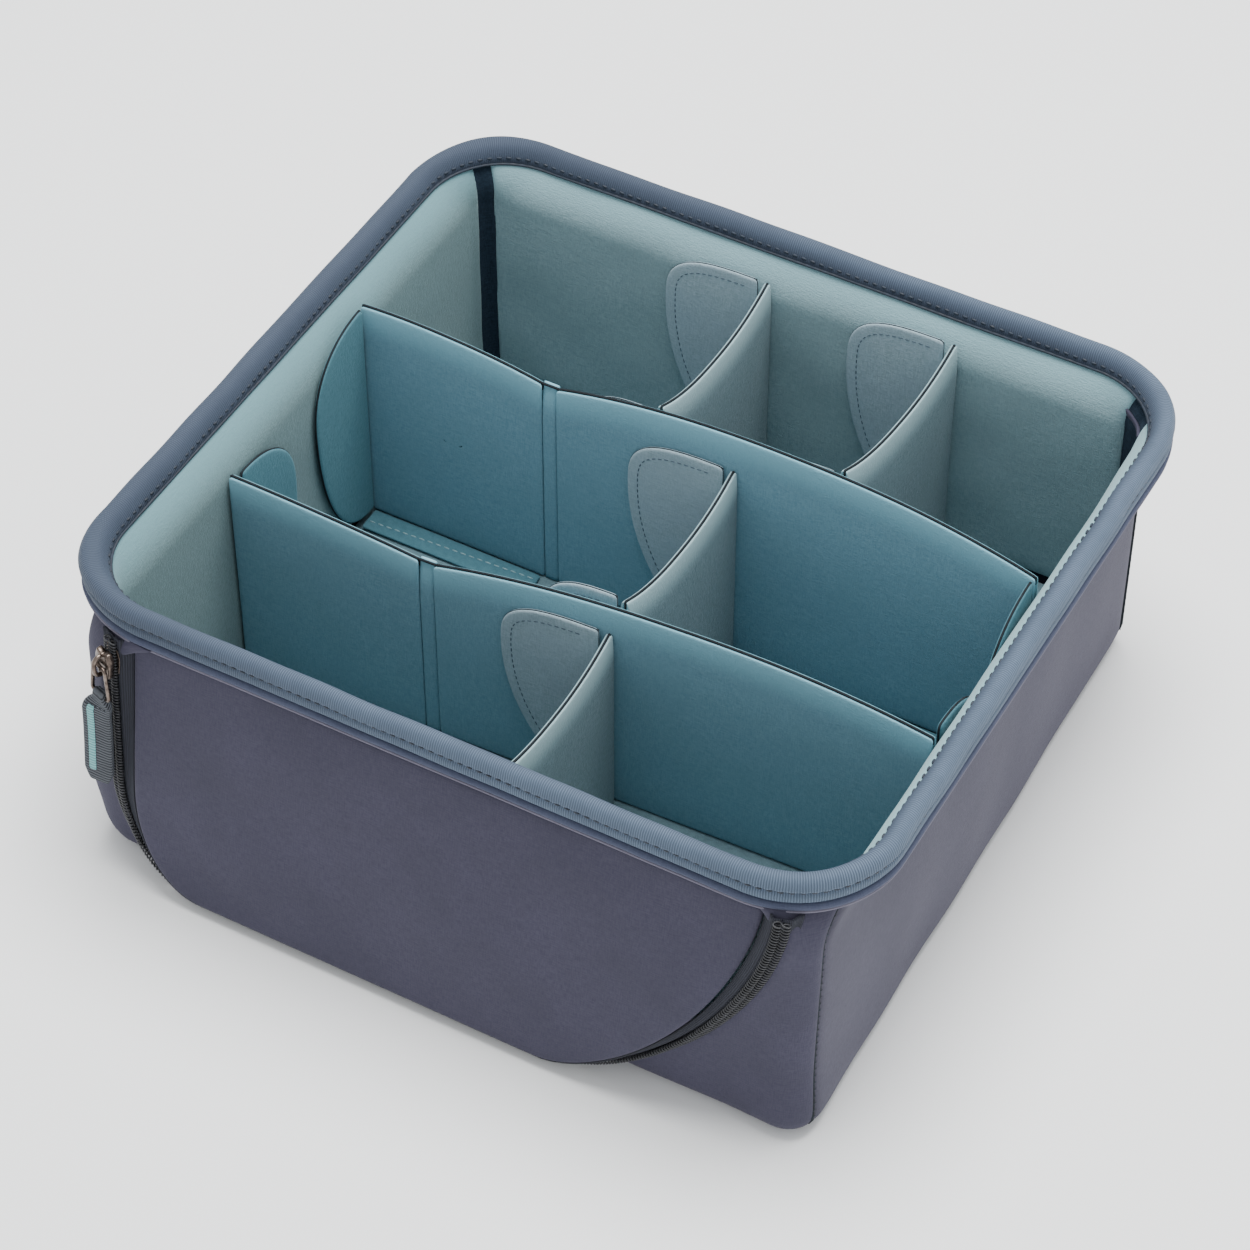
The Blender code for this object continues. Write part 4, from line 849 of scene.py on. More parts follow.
def buildLining():
    wallPad("leftLinerPad", "left", 4.0, "left_liner_pad")
    wallPad("rightLinerPad", "right", 3.0, "right_liner_pad")
    wallPad("rearLinerPad", "rear", 3.0, "rear_liner_pad")
    flat, lift = coreRings(evenly([(-127.5, 14.4), (-118.6, 14.4), (-118.6, 107.5), (-127.5, 107.5)], 2.6),
                           ((-123.5, 24), (-123.5, 98)), pillowRings(2.6, 1.0))
    front = stack(flat[..., 0], lining["frontY"] - lift, flat[..., 1])
    piece = gridMesh("frontLinerPadLeft", front, linerLoop, uv=flat, closeU=True, weld=True)
    settle(piece, "case", "front_liner_pad_left", "loop", 1)
    corners = dict(front_right=(1, -1), front_left=(-1, -1), rear_right=(1, 1), rear_left=(-1, 1))
    for corner, (sideX, sideY) in corners.items():
        z = np.concatenate([np.linspace(14.2, 94, 12), np.linspace(97, lining["top"] - 0.3, 12)])
        halfX, front, rear, radius = linerPlan(z)
        halfY = rear if sideY > 0 else -front
        spread = (lining["gusset"][corner] / 2 + 4.0) / radius
        angle = math.pi / 4 + spread * np.linspace(-1, 1, 21)[:, None]
        fold = lining["gussetFold"] * np.sin((angle - math.pi / 4) * radius * 0.9 + z[None, :] * 0.03)
        back = radius + lining["gussetBack"] + fold
        x = (halfX - radius) + back * np.cos(angle)
        y = (halfY - radius) + back * np.sin(angle)
        points = stack(x * sideX, y * sideY, np.broadcast_to(z, x.shape))
        gusset = gridMesh("cornerGusset_" + corner, points, navyGusset)
        modify(gusset, "SOLIDIFY", thickness=lining["gussetThick"] * mm, offset=0.0)
        settle(gusset, "case", "corner_gusset_" + corner, "gusset", 1)

    inset = 4.0
    _, x, y, _ = roundedRing(case["left"] + inset, case["right"] - inset, case["front"] + inset,
                             case["rear"] - inset, 9.0, 5.0)
    rings = [(0, 0, 13.9), (0.25, 0, 14.0), (0.5, 0, 13.9), (0.75, 0, 13.8), (0.93, 0, 13.5), (1, 0, 12.6),
             (1, 0, 8.0), (1, 3.5, 2.6), (0.5, 3.5, 2.4), (0, 0, 2.4)]
    flat, lift = coreRings(np.stack([x, y], 1), ((-20, -4), (20, -4)), rings)
    soft = 0.12 * ripple(flat[..., 0], flat[..., 1], 35, 31) * (lift > 13)
    floor = gridMesh("floorPad", np.concatenate([flat, (lift + soft)[..., None]], -1), floorLoop, uv=flat,
                     closeU=True, weld=True)
    settle(floor, "case", "floor_pad", "loop", 1)

    # The pad right of the door: its edge follows the zip's right curve
    line = doorLine(-118.0, 118.0, 4.0, 118.0, 26.0)[92:]
    outline = evenly(np.concatenate([line, [(126.5, 107.5), (126.5, 14.4), (58.0, 14.4)]]), 4.0)
    outline = outline[(outline[:, 1] > 14.3) & (outline[:, 1] < 107.6)]
    flat, lift = coreRings(outline, ((108, 34), (121, 62)), pillowRings(2.8, 1.4))
    right = stack(flat[..., 0], lining["frontY"] - lift, flat[..., 1])
    piece = gridMesh("frontLinerPadRight", right, linerLoop, uv=flat, closeU=True, weld=True)
    settle(piece, "case", "front_liner_pad_right", "loop", 1)


buildLining()
print("lining done")


# ---- dividers

long = dict(half=3.5, end=130.4, fold=-54.5, foldHalf=2.8, rear=36.7, front=-44.8, skew=5.0, base=14.3,
            lip=1.6, thread=0.5, seam=1.2, roll=12.0, rearFold=94.6, frontFold=82.6, rearLeft=99.3, rearRight=91.8,
            frontLeft=89.8, frontRight=87.2)
short = dict(half=3.0, lip=1.5, thread=0.45, sag=8.0, seam=0.7, roll=10.0, gap=0.3, rearTab=37.0, frontTab=28.0)


def dividerOutline(start, end, heights, crown, step=2.8, corner=1.0):
    # Anticlockwise from the bottom left: level below, upright ends, and a top edge that runs from
    # one height to the other with a bow of crown * (1 - |2s - 1|^2.3). Each side has even steps
    def top(x):
        share = (x - start) / (end - start)
        return heights[0] + (heights[1] - heights[0]) * share + crown * (1 - np.abs(2 * share - 1) ** 2.3)

    def bend(first, middle, last):
        t = np.linspace(0, 1, 4)[:, None]
        return (1 - t) ** 2 * np.array(first) + 2 * t * (1 - t) * np.array(middle) + t ** 2 * np.array(last)

    def between(first, last):
        count = max(int(np.ptp([first, last], axis=0).max() / step), 2)
        return np.linspace(first, last, count + 1)[1:-1]

    x = between(end - corner, start + corner)
    return np.concatenate([
        bend((start, 1.5), (start, 0), (start + 1.5, 0)), between((start + 1.5, 0), (end - 1.5, 0)),
        bend((end - 1.5, 0), (end, 0), (end, 1.5)), between((end, 1.5), (end, heights[1] - corner)),
        bend((end, heights[1] - corner), (end, top(end)), (end - corner, top(end - corner))),
        np.stack([x, top(x)], 1),
        bend((start + corner, top(start + corner)), (start, top(start)), (start, heights[0] - corner)),
        between((start, heights[0] - corner), (start, 1.5))])


def buildPillow(name, outline, core, half, lip, place, material, body, node, slot, seam=0.0, cap=1.0,
                thread=0.5, lips=None, slack=0.4, smooth=1, roll=0.0):
    # A padded panel of two cloth faces sewn together round their edge, with a thread line in the
    # groove. The top edge rolls over gently. The faces start a little slack and are blown up to the
    # thickness they may have. The far lip may take a lighter copy of the material: a painted highlight
    upper = outline[outline[:, 1] > outline[:, 1].mean()]
    upper = upper[np.lexsort((upper[:, 1], upper[:, 0].round(2)))]
    upper = upper[np.append(np.diff(upper[:, 0].round(2)) > 0, True)]
    low, high, margin = outline[:, 0].min(), outline[:, 0].max(), lip * 1.8
    square = roll > 0

    def top(x):
        return np.interp(x, upper[:, 0], upper[:, 1]) if square else 0 * x + outline[:, 1].max()
    crest = np.clip(1 - (top(outline[:, 0]) - outline[:, 1]) / 6, 0, 1) if square else np.zeros(len(outline))
    plain, rolled = (pillowRings(half, lip, seam, roll=wide) for wide in (0.0, roll))
    rings = np.concatenate([plain, rolled[:, 1:2]], 1)
    flat, lift = coreRings(outline, core, rings, top)
    lift = lift + (rolled[:, 2] - plain[:, 2]) * crest[:, None]
    edge = plain[:, 0] == 1
    # The far lip's cells, which get the painted highlight
    far = edge & (np.sign(plain[:, 2] - seam) == -np.sign(seam or 1))

    def normalised(x, z):
        # The face from -1 to 1 both ways, inside its pinned edge
        ceiling = top(x) - margin - roll
        wide = 2 * (x - low - margin) / (high - low - 2 * margin) - 1
        return np.clip(wide, -1, 1), np.clip(2 * (z - margin) / (ceiling - margin) - 1, -1, 1)

    wide, tall = normalised(flat[..., 0], flat[..., 1])
    belly = ((1 - wide ** 4) * (1 - tall ** 4)) * (half * 0.06 - slack) * (plain[:, 0] < 1)
    points = place(flat, lift + belly * np.sign(plain[:, 2]))
    drop = top(flat[..., 0]) - flat[..., 1]
    piece = gridMesh(name, points, material, uv=flat, closeU=True, weld=True, pins=edge[None, :], edging=lips,
                     edged=far[1:] & far[:-1], drop=drop)
    settle(piece, body, node, slot, smooth)
    origin = place(np.zeros((1, 2)), np.zeros(1))[0]
    across = place(np.zeros((1, 2)), np.ones(1))[0] - origin
    way = place(np.array([[1.0, 0.0]]), np.zeros(1))[0] - origin

    def spread(points):
        return across, (points - origin) @ across, *normalised((points - origin) @ way, points[:, 2] - origin[2])

    def keepFlat(after):
        # Beyond four fifths of its room the face is held back more and more
        lift = (after - origin) @ across
        room = half + 0.1
        high = np.abs(lift) / room
        held = np.where(high > 0.8, 0.8 + 0.2 * np.tanh((high - 0.8) / 0.2), high) * room * np.sign(lift)
        return after + (held - lift)[:, None] * across

    swellJobs.append(dict(piece=piece, cap=cap, pressure=4.0, limit=keepFlat, spread=spread))
    flat, _ = coreRings(outline, core, [(1, lip * 0.3, 0, lip * 0.3)], top)
    closed = material != tealLoop
    if not closed:
        flat = flat[top(outline[:, 0]) - outline[:, 1] < 3.5]
    line = place(flat[:, 0], np.full(len(flat), seam))
    cord = tubeAlong(name + "Seam", line, thread, seamThread, closed, 6, lean=tuple(across))
    settle(cord, body, (), "seam")


def middleLine(outline):
    # The middle segment of a panel: its ends are half the panel's height in from its ends
    low, high = outline.min(0), outline.max(0)
    level = low[1] + (high[1] - low[1]) * 0.5
    inset = min((high[1] - low[1]) * 0.5, (high[0] - low[0]) * 0.45)
    return (low[0] + inset, level), (high[0] - inset, level)


def buildLongDividers():
    slant = (case["innerX"], long["skew"])
    fold, edge, end = long["fold"], long["foldHalf"], long["end"]
    spans = [("rearDividerLeft", "rear", -end, fold - edge, (long["rearLeft"], long["rearFold"]), 2.4,
              "rear_folding_section", "rear_divider_left"),
             ("rearDividerRight", "rear", fold + edge, end, (long["rearFold"], long["rearRight"]), 11.5,
              "rear_long_divider", "rear_divider_right"),
             ("frontDividerLeft", "front", -end, fold - edge, (long["frontLeft"], long["frontFold"]), 0.8,
              "front_long_divider", "front_divider_left"),
             ("frontDividerRight", "front", fold + edge, end, (long["frontFold"], long["frontRight"]), 9.5,
              "front_long_divider", "front_divider_right")]
    for name, row, start, stop, heights, crown, body, node in spans:
        place = upright((0, long[row], long["base"]), (1, 0) if row == "rear" else slant)
        outline = dividerOutline(start, stop, heights, crown)
        buildPillow(name, outline, middleLine(outline), long["half"], long["lip"], place, tealLoop, body, node,
                    "teal", long["seam"], thread=long["thread"], lips=tealLipHighlight, roll=long["roll"])
    # The fold's strip is a narrow pad that thins towards its top, as the panels beside it do. The
    # front one rides on its divider; the rear one is on no body, with its transform applied
    across = np.array([0.0, 1.4, 2.4, 2.8, 2.9])
    thick = np.array([3.0, 2.95, 2.75, 2.2, 1.4])
    across = np.concatenate([-across[:0:-1], across])
    thick = np.concatenate([thick[:0:-1], thick])
    x = fold + np.concatenate([across, across[::-1]])
    lift = np.concatenate([thick, -thick[::-1]])
    shrink = np.concatenate([np.ones(20), [0.97, 0.92, 0.8, 0.6, 0.44, 0.3, 0.12]])[:, None]
    for row, top in (("rear", long["rearFold"]), ("front", long["frontFold"])):
        place = upright((0, long[row], long["base"]), (1, 0) if row == "rear" else slant)
        z = np.concatenate([[0.4], np.linspace(2, top - 12.0, 21), top - np.array([8.0, 4.5, 2.2, 0.8, 0.2])])
        flat = stack(x, z[:, None])
        strip = gridMesh(row + "FoldStrip", place(flat, lift * shrink), tealLoop, uv=flat, closeV=True, caps=True,
                         outward=True, drop=top - flat[..., 1])
        reach = np.linspace(fold - 3.4, fold + 3.4, 9)
        line = place(stack(reach, np.full(9, top - 0.35)), np.full(9, long["seam"]))
        seam = tubeAlong(row + "FoldSeam", line, long["thread"], seamThread, sides=6)
        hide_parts(row + "_fold_strip")
        for piece in (strip, seam):
            if row == "rear":
                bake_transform(piece)
            else:
                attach(piece, "front_long_divider")


hem = dict(short=2.3, near=0.4, far=10.3, half=0.7, lift=0.75, wave=0.12, dash=2.3, dashWide=0.6, dashStep=3.4)


def buildFeet():
    # Hem strips of the rear divider lie on the floor before it, with a pale dashed seam
    reach = long["end"] - hem["short"]
    near, far = (long["rear"] - long["half"] - hem[edge] for edge in ("near", "far"))
    spans = (("Left", -reach, long["fold"] - 3.6, "rear_folding_section", "rear_divider_foot_left"),
             ("Right", 23.5, reach, "rear_long_divider", "rear_divider_foot_right"))
    for side, first, last, body, node in spans:
        x = np.concatenate([[first, first + 0.15], np.arange(first + 1, last - 1, 4.0), [last - 0.15, last]])
        share = np.linspace(0, 2 * math.pi, 20, endpoint=False)
        wide = squarer(np.cos(share), 0.35) * (near - far) / 2
        tall = squarer(np.sin(share), 0.5) * hem["half"]
        shrink = np.where((x < first + 0.1) | (x > last - 0.1), 0.86, 1.0)[:, None]
        level = long["base"] + hem["lift"] + hem["wave"] * ripple(x, x * 0, 28, 61)[:, None]
        points = stack(x[:, None] + 0 * share, (near + far) / 2 + wide * shrink, level + tall * shrink)
        strip = gridMesh("rearDividerFoot" + side, points, tealTab, closeV=True, caps=True, outward=True)
        settle(strip, body, node, "teal", 1)
        spots = np.arange(first + 2.5, last - 2, hem["dashStep"])
        flat = np.tile([1.0, 0.0, 0.0], (len(spots), 1))
        up = np.tile([0.0, 0.0, 1.0], (len(spots), 1))
        rise = long["base"] + 2 * hem["lift"] + hem["wave"] * ripple(spots, spots * 0, 28, 61)
        slide = (spots - first) / (last - first) if side == "Left" else (last - spots) / (last - first)
        dashes = stitchRow("rearDividerFootStitches" + side, stack(spots, near - 6.5 + 3.5 * slide, rise), flat, up,
                           hem["dash"], hem["dashWide"], paleThread)
        settle(dashes, body, (), "seam")


# The foot is left free below a tab, so that it swings clear of the rear divider's hem strips
tab = dict(foot=2.2, half=1.0, lip=0.8, cap=0.35, slack=0.1, stitchInset=4.2, stitchStep=2.6, stitchStart=5.4)
tealShape = dict(material=tealTab, slot="teal_tab", slim=0.78, square=0.9, peak=0.66, thread=0.5, stitched=False)
feltShape = dict(material=feltTab, slot="felt", slim=1.25, square=0.62, peak=0.74, thread=0.36, stitched=True)


def tabOutline(width, height, slim, square, peak, step=2.0):
    # A leaf beside its crease: widest at the peak's share of its height, width * cos(a)^slim below
    # that and a quarter above, width * cos(a)^square, which is squarer for a felt tab
    peak = height * peak
    crest = height - peak
    low = np.linspace(-math.pi / 2, 0, 24)
    high = np.linspace(0, math.pi / 2, 16)
    x = np.concatenate([width * np.cos(low) ** slim, width * np.cos(high[1:]) ** square])
    z = np.concatenate([peak + peak * np.sin(low), peak + crest * np.sin(high[1:]) ** square])
    x = np.maximum(x, 0.1)
    return evenly(np.stack([x, z], 1), step)


def buildTab(name, axis, direction, wallSide, width, height, body, node, shape):
    # A tab's crease stands on the axis, and its leaf lies on the wall's side of it
    tall = height - tab["foot"]
    outline = tabOutline(width, tall, shape["slim"], shape["square"], shape["peak"])
    place = upright((axis[0], axis[1], long["base"] + tab["foot"]), direction)
    shift = wallSide * tab["half"]

    def onWall(flat, lift):
        return place(flat, lift + shift)
    level = tall * (shape["peak"] - 0.04)
    core = ((width * 0.42, level * 0.55), (width * 0.5, level * 1.05))
    buildPillow(name, outline, core, tab["half"], tab["lip"], onWall, shape["material"], body, node,
                shape["slot"], cap=tab["cap"], thread=shape["thread"], slack=tab["slack"])
    if shape["stitched"]:
        inner, _ = coreRings(outline, core, [(1, tab["stitchInset"], 0)])
        row = evenly(inner[:, 0], tab["stitchStep"])
        row = row[row[:, 0] > tab["stitchStart"]]
        way = np.gradient(row, axis=0)
        way /= np.linalg.norm(way, axis=1)[:, None]
        for side in (-1, 1):
            spots = onWall(row, np.full(len(row), side * 1.02))
            flat, level = np.zeros_like(row), np.zeros(len(row))
            ways = onWall(way, level) - onWall(flat, level)
            face = onWall(flat, level + side) - onWall(flat, level)
            piece = stitchRow(name + ("StitchesIn" if side < 0 else "StitchesOut"), spots, ways, face, 1.7, 0.45,
                              feltThread)
            settle(piece, body, (), "seam")


def frontLine(x):
    return long["front"] + long["skew"] * x / case["innerX"]


def buildTabs():
    crease = long["end"] - 2.0
    rearCrease = long["rear"] - long["half"] - 0.15
    lean = long["half"] + long["skew"] * 2.0 / case["innerX"] + 0.15
    rows = [("rearLeftTab", (-crease, rearCrease), (0, -1), 1, 33.0, long["rearLeft"], "rear_left_tab",
             "rear_divider_left_tab"),
            ("rearRightTab", (crease, rearCrease), (0, -1), -1, 33.0, long["rearRight"], "rear_right_tab",
             "rear_divider_right_tab"),
            ("frontLeftTab", (-crease, frontLine(-crease) + lean), (0, 1), -1, 31.5, 86.5, "front_left_tab",
             "front_divider_left_tab"),
            ("frontRightTab", (crease, frontLine(long["end"]) + lean), (0, 1), 1, 31.5, long["frontRight"],
             "front_right_tab", "front_divider_right_tab")]
    for name, axis, direction, side, width, height, body, node in rows:
        buildTab(name, axis, direction, side, width, height, body, node, tealShape)


def buildShortDividers():
    rearFace = long["rear"] + long["half"]
    behind = long["rear"] - long["half"]
    rows = [("first", (-14.8, case["innerRear"]), (-14.5, rearFace), (94.0, 99.5), (-1, 0), (-1, 0)),
            ("second", (58.5, case["innerRear"]), (55.5, rearFace), (97.0, 102.0), (-1, 0), (-1, 0)),
            ("third", (18.0, behind), (16.2, frontLine(16.2) + long["half"]), (91.0, 92.3), (-1, 0),
             (-case["innerX"], -long["skew"])),
            ("fourth", (14.9, frontLine(14.9) - long["half"]), (13.5, case["innerFront"]), (84.0, 86.0),
             (-case["innerX"], -long["skew"]), (-1, 0))]
    for word, start, finish, heights, rearSlant, frontSlant in rows:
        start, finish = np.array(start, float), np.array(finish, float)
        run = (finish - start) / np.linalg.norm(finish - start)
        length = float(np.linalg.norm(finish - start))
        place = upright((start[0], start[1], long["base"]), run)
        outline = dividerOutline(short["gap"], length - short["gap"], heights, -short["sag"], 2.6)
        buildPillow(word + "ShortDivider", outline, middleLine(outline), short["half"], short["lip"], place,
                    paleLoop, word + "_short_divider", word + "_divider", "pale", seam=-short["seam"],
                    thread=short["thread"], lips=paleLipHighlight, roll=short["roll"])
        left = np.array([run[1], -run[0]])
        reach = short["half"] - short["gap"]
        inset = short["gap"] + 2 * tab["half"] + 2 * short["half"] * abs(run[0])
        rearAxis = start + left * reach + run * inset
        frontAxis = finish + left * reach - run * inset
        buildTab(word + "RearTab", rearAxis, rearSlant, 1, short["rearTab"], heights[0], word + "_rear_tab",
                 word + "_divider_rear_tab", feltShape)
        buildTab(word + "FrontTab", frontAxis, frontSlant, -1, short["frontTab"], heights[0] + 1.0,
                 word + "_front_tab", word + "_divider_front_tab", feltShape)


buildLongDividers()
buildFeet()
buildTabs()
buildShortDividers()
print("dividers and tabs done")


# ---- door flap, zip, slider and pull

flap = dict(half=2.0, lip=1.5, belly=2.2, wave=0.55, linerHalf=1.5, linerLip=1.3, linerMargin=3.2,
            linerBack=5.9, core=((-62, 58), (52, 70)))


def flapFace(z):
    # The place of the closed flap's face along y at a height
    return door["face"] - door["lean"] * (door["top"] - z) / (door["top"] - door["bottom"])


def buildFlap():
    outline = doorLine(door["left"], door["right"], door["bottom"], door["top"], door["radius"])
    outline = np.concatenate([evenly(outline, 4.2, False), stack(np.linspace(door["right"], door["left"], 56)[1:-1],
                                                                 door["top"])])
    rings = pillowRings(flap["half"], flap["lip"], shares=(0.0, 0.12, 0.24, 0.36, 0.48, 0.6, 0.72, 0.82, 0.9))
    flat, lift = coreRings(outline, flap["core"], rings)
    front = lift > 0
    x, z = flat[..., 0], flat[..., 1]
    depth = np.clip(np.hypot(x / 118, (z - 58) / 52), 0, 1)
    proud = (flap["belly"] * (1 - depth ** 2) + flap["wave"] * ripple(x, z, 55, 41) * (1 - depth ** 4)) * front
    y = flapFace(z) + flap["half"] - lift - proud
    cover = gridMesh("doorFlap", stack(x, y, z), slateWeave, uv=flat, closeU=True, weld=True,
                     pins=(rings[:, 0] == 1)[None, :])
    settle(cover, "door", "door_flap", "shell", 1)

    def spread(points):
        # The flap's face from -1 to 1 both ways, narrower towards its round lower corners
        x, z = points[:, 0], points[:, 2]
        tall = np.clip((z - 54) / 50, -1, 1)
        wide = x / np.where(z < 60, 66 + 46 * np.sqrt(np.clip(1 - ((60 - z) / 58) ** 2, 0, 1)), 112)
        return np.array([0.0, -1.0, 0.0]), flapFace(z) + flap["half"] - points[:, 1], np.clip(wide, -1, 1), tall

    swellJobs.append(dict(piece=cover, cap=1.2, pressure=2.5, spread=spread))

    margin = flap["linerMargin"]
    outline = evenly(doorLine(door["left"] + margin, door["right"] - margin, door["bottom"] + margin,
                              door["top"] - margin, door["radius"] - margin), 4.2)
    rings = pillowRings(flap["linerHalf"], flap["linerLip"], shares=(0.0, 0.2, 0.4, 0.6, 0.8, 0.9))
    flat, lift = coreRings(outline, flap["core"], rings)
    y = flapFace(flat[..., 1]) + flap["linerBack"] - lift
    liner = gridMesh("doorFlapLiner", stack(flat[..., 0], y, flat[..., 1]), linerLoop, uv=flat, closeU=True,
                     weld=True)
    settle(liner, "door", "door_flap_liner", "loop", 1)


def zipRails():
    # The flap's edge, the middle of the coil and the shell's edge along the zip, and the ways that
    # run across the tapes and that the coil faces
    edge = doorLine(door["left"] - 0.6, door["right"] + 0.6, door["bottom"] - 1.2, door["zipTop"], 26.0)
    middle = doorLine(door["left"] - 7.2, door["right"] + 7.2, 3.0, door["zipTop"], 29.6)
    outer = doorLine(door["left"] - 12.4, door["right"] + 12.4, 7.2, door["zipTop"] + 0.4, 33.2)
    tangent = np.gradient(middle, axis=0)
    tangent /= np.linalg.norm(tangent, axis=1)[:, None]
    tangent = stack(tangent[:, 0], tangent[:, 0] * 0, tangent[:, 1])
    outward = stack(tangent[:, 2], tangent[:, 0] * 0, -tangent[:, 0])
    low = np.maximum(-outward[:, 2], 0) ** 1.5
    tilt = np.radians(20 + 72 * low)[:, None]
    across = outward * np.cos(tilt) + np.array([0, 1, 0]) * np.sin(tilt)
    facing = np.cross(across, tangent)
    edgeY = flapFace(edge[:, 1]) + flap["half"]
    middleY = (edgeY + (case["front"] - 0.65)) / 2 - 1.6
    shellRail = wallPoint(frontRun(outer[:, 0]), climbAt(outer[:, 1]), -0.4)
    rails = [stack(edge[:, 0], edgeY, edge[:, 1]), stack(middle[:, 0], middleY, middle[:, 1]),
             stack(outer[:, 0], shellRail[:, 1], outer[:, 1])]
    return rails, across, facing


coilShape = dict(pitch=1.3, wire=0.34, wide=1.35, lift=1.55, tall=0.9)
tapeShape = dict(near=0.3, knee=2.9, sag=0.5, thick=0.7)


def buildZip():
    rails, across, facing = zipRails()
    middle = rails[1]
    run = np.concatenate([[0.0], np.cumsum(np.linalg.norm(np.diff(middle, axis=0), axis=1))])
    for side, far, owner, body in ((-1, rails[0], "flap", "door"), (1, rails[2], "shell", "case")):
        near = middle + across * (side * tapeShape["near"])
        knee = middle + across * (side * tapeShape["knee"])
        share = np.linspace(0, 1, 5)[None, :, None]
        sheet = knee[:, None] + (far - knee)[:, None] * share
        sag = tapeShape["sag"] * np.sin(math.pi * share[..., 0]) * (1 + 0.3 * ripple(run, run * 0, 40, 51)[:, None])
        sheet = sheet - facing[:, None] * sag[..., None]
        points = np.concatenate([near[:, None], sheet], 1)
        tape = gridMesh(owner + "ZipTape", points, zipTape)
        modify(tape, "SOLIDIFY", thickness=tapeShape["thick"] * mm, offset=0.0)
        settle(tape, body, owner + "_zip_tape", "tape")

        # The coil: a flattened helix, centre + across * a cos t + facing * b sin t, one turn a pitch
        turns = run[-1] / coilShape["pitch"]
        t = np.linspace(0, turns * 2 * math.pi, int(turns * 11))
        place = np.interp(t, [0, t[-1]], [0, run[-1]])
        line, wide, face = (np.stack([np.interp(place, run, values[:, k]) for k in range(3)], 1)
                            for values in (middle, across, facing))
        spin = t + (math.pi if side > 0 else 0)
        line = (line + wide * (coilShape["wide"] * (side + np.cos(spin)))[:, None]
                + face * (coilShape["lift"] + coilShape["tall"] * np.sin(spin))[:, None])
        coil = tubeAlong(owner + "ZipCoil", line, coilShape["wire"], zipNylon, sides=5, lean=(0.31, 0.57, 0.76))
        settle(coil, body, owner + "_zip_coil", "coil")


pull = dict(pivot=(-122.81, -141.88, 97.92), across=(0.9394, -0.3419, 0.0238), inward=(0.3427, 0.9371, -0.0653),
            up=(0.0, 0.0695, 0.9976), ring=(4.6, 13.0), wire=0.72, width=11.0, length=40.0, neck=5.8, twist=22.0,
            shift=(-1.8, -1.3), bow=0.55, stripe=1.4, stripeAt=-1.9, stripeThick=0.3)


def onSlider(points, drop=0.0):
    # From the slider's own axes (across the zip, into the case, up the leg) to the world
    points = np.asarray(points, float)
    axes = np.array([pull["across"], pull["inward"], pull["up"]])
    return np.array(pull["pivot"]) + (points - [0.0, 0.0, drop]) @ axes


def onStrap(points):
    # The strap hangs from the ring, turned a little towards the zip below its shoulder
    across, inward, rise = np.moveaxis(np.asarray(points, float), -1, 0)
    share = smoothStep((-rise - 1) / 7)
    turn = np.radians(pull["twist"]) * share
    hung = stack(across * np.cos(turn) - inward * np.sin(turn) + pull["shift"][0] * share,
                 across * np.sin(turn) + inward * np.cos(turn) + pull["shift"][1] * share, rise)
    return onSlider(hung, pull["ring"][1])


def joinPieces(name, pieces):
    # Several meshes as one object
    shell = bmesh.new()
    for piece in pieces:
        shell.from_mesh(piece.data)
        bpy.data.objects.remove(piece)
    mesh = bpy.data.meshes.new(name)
    shell.to_mesh(mesh)
    shell.free()
    return mesh


slider = dict(half=4.0, reach=5.5, bridge=0.85, bridgeTall=3.6, bridgeReach=4.1, wedge=1.0)


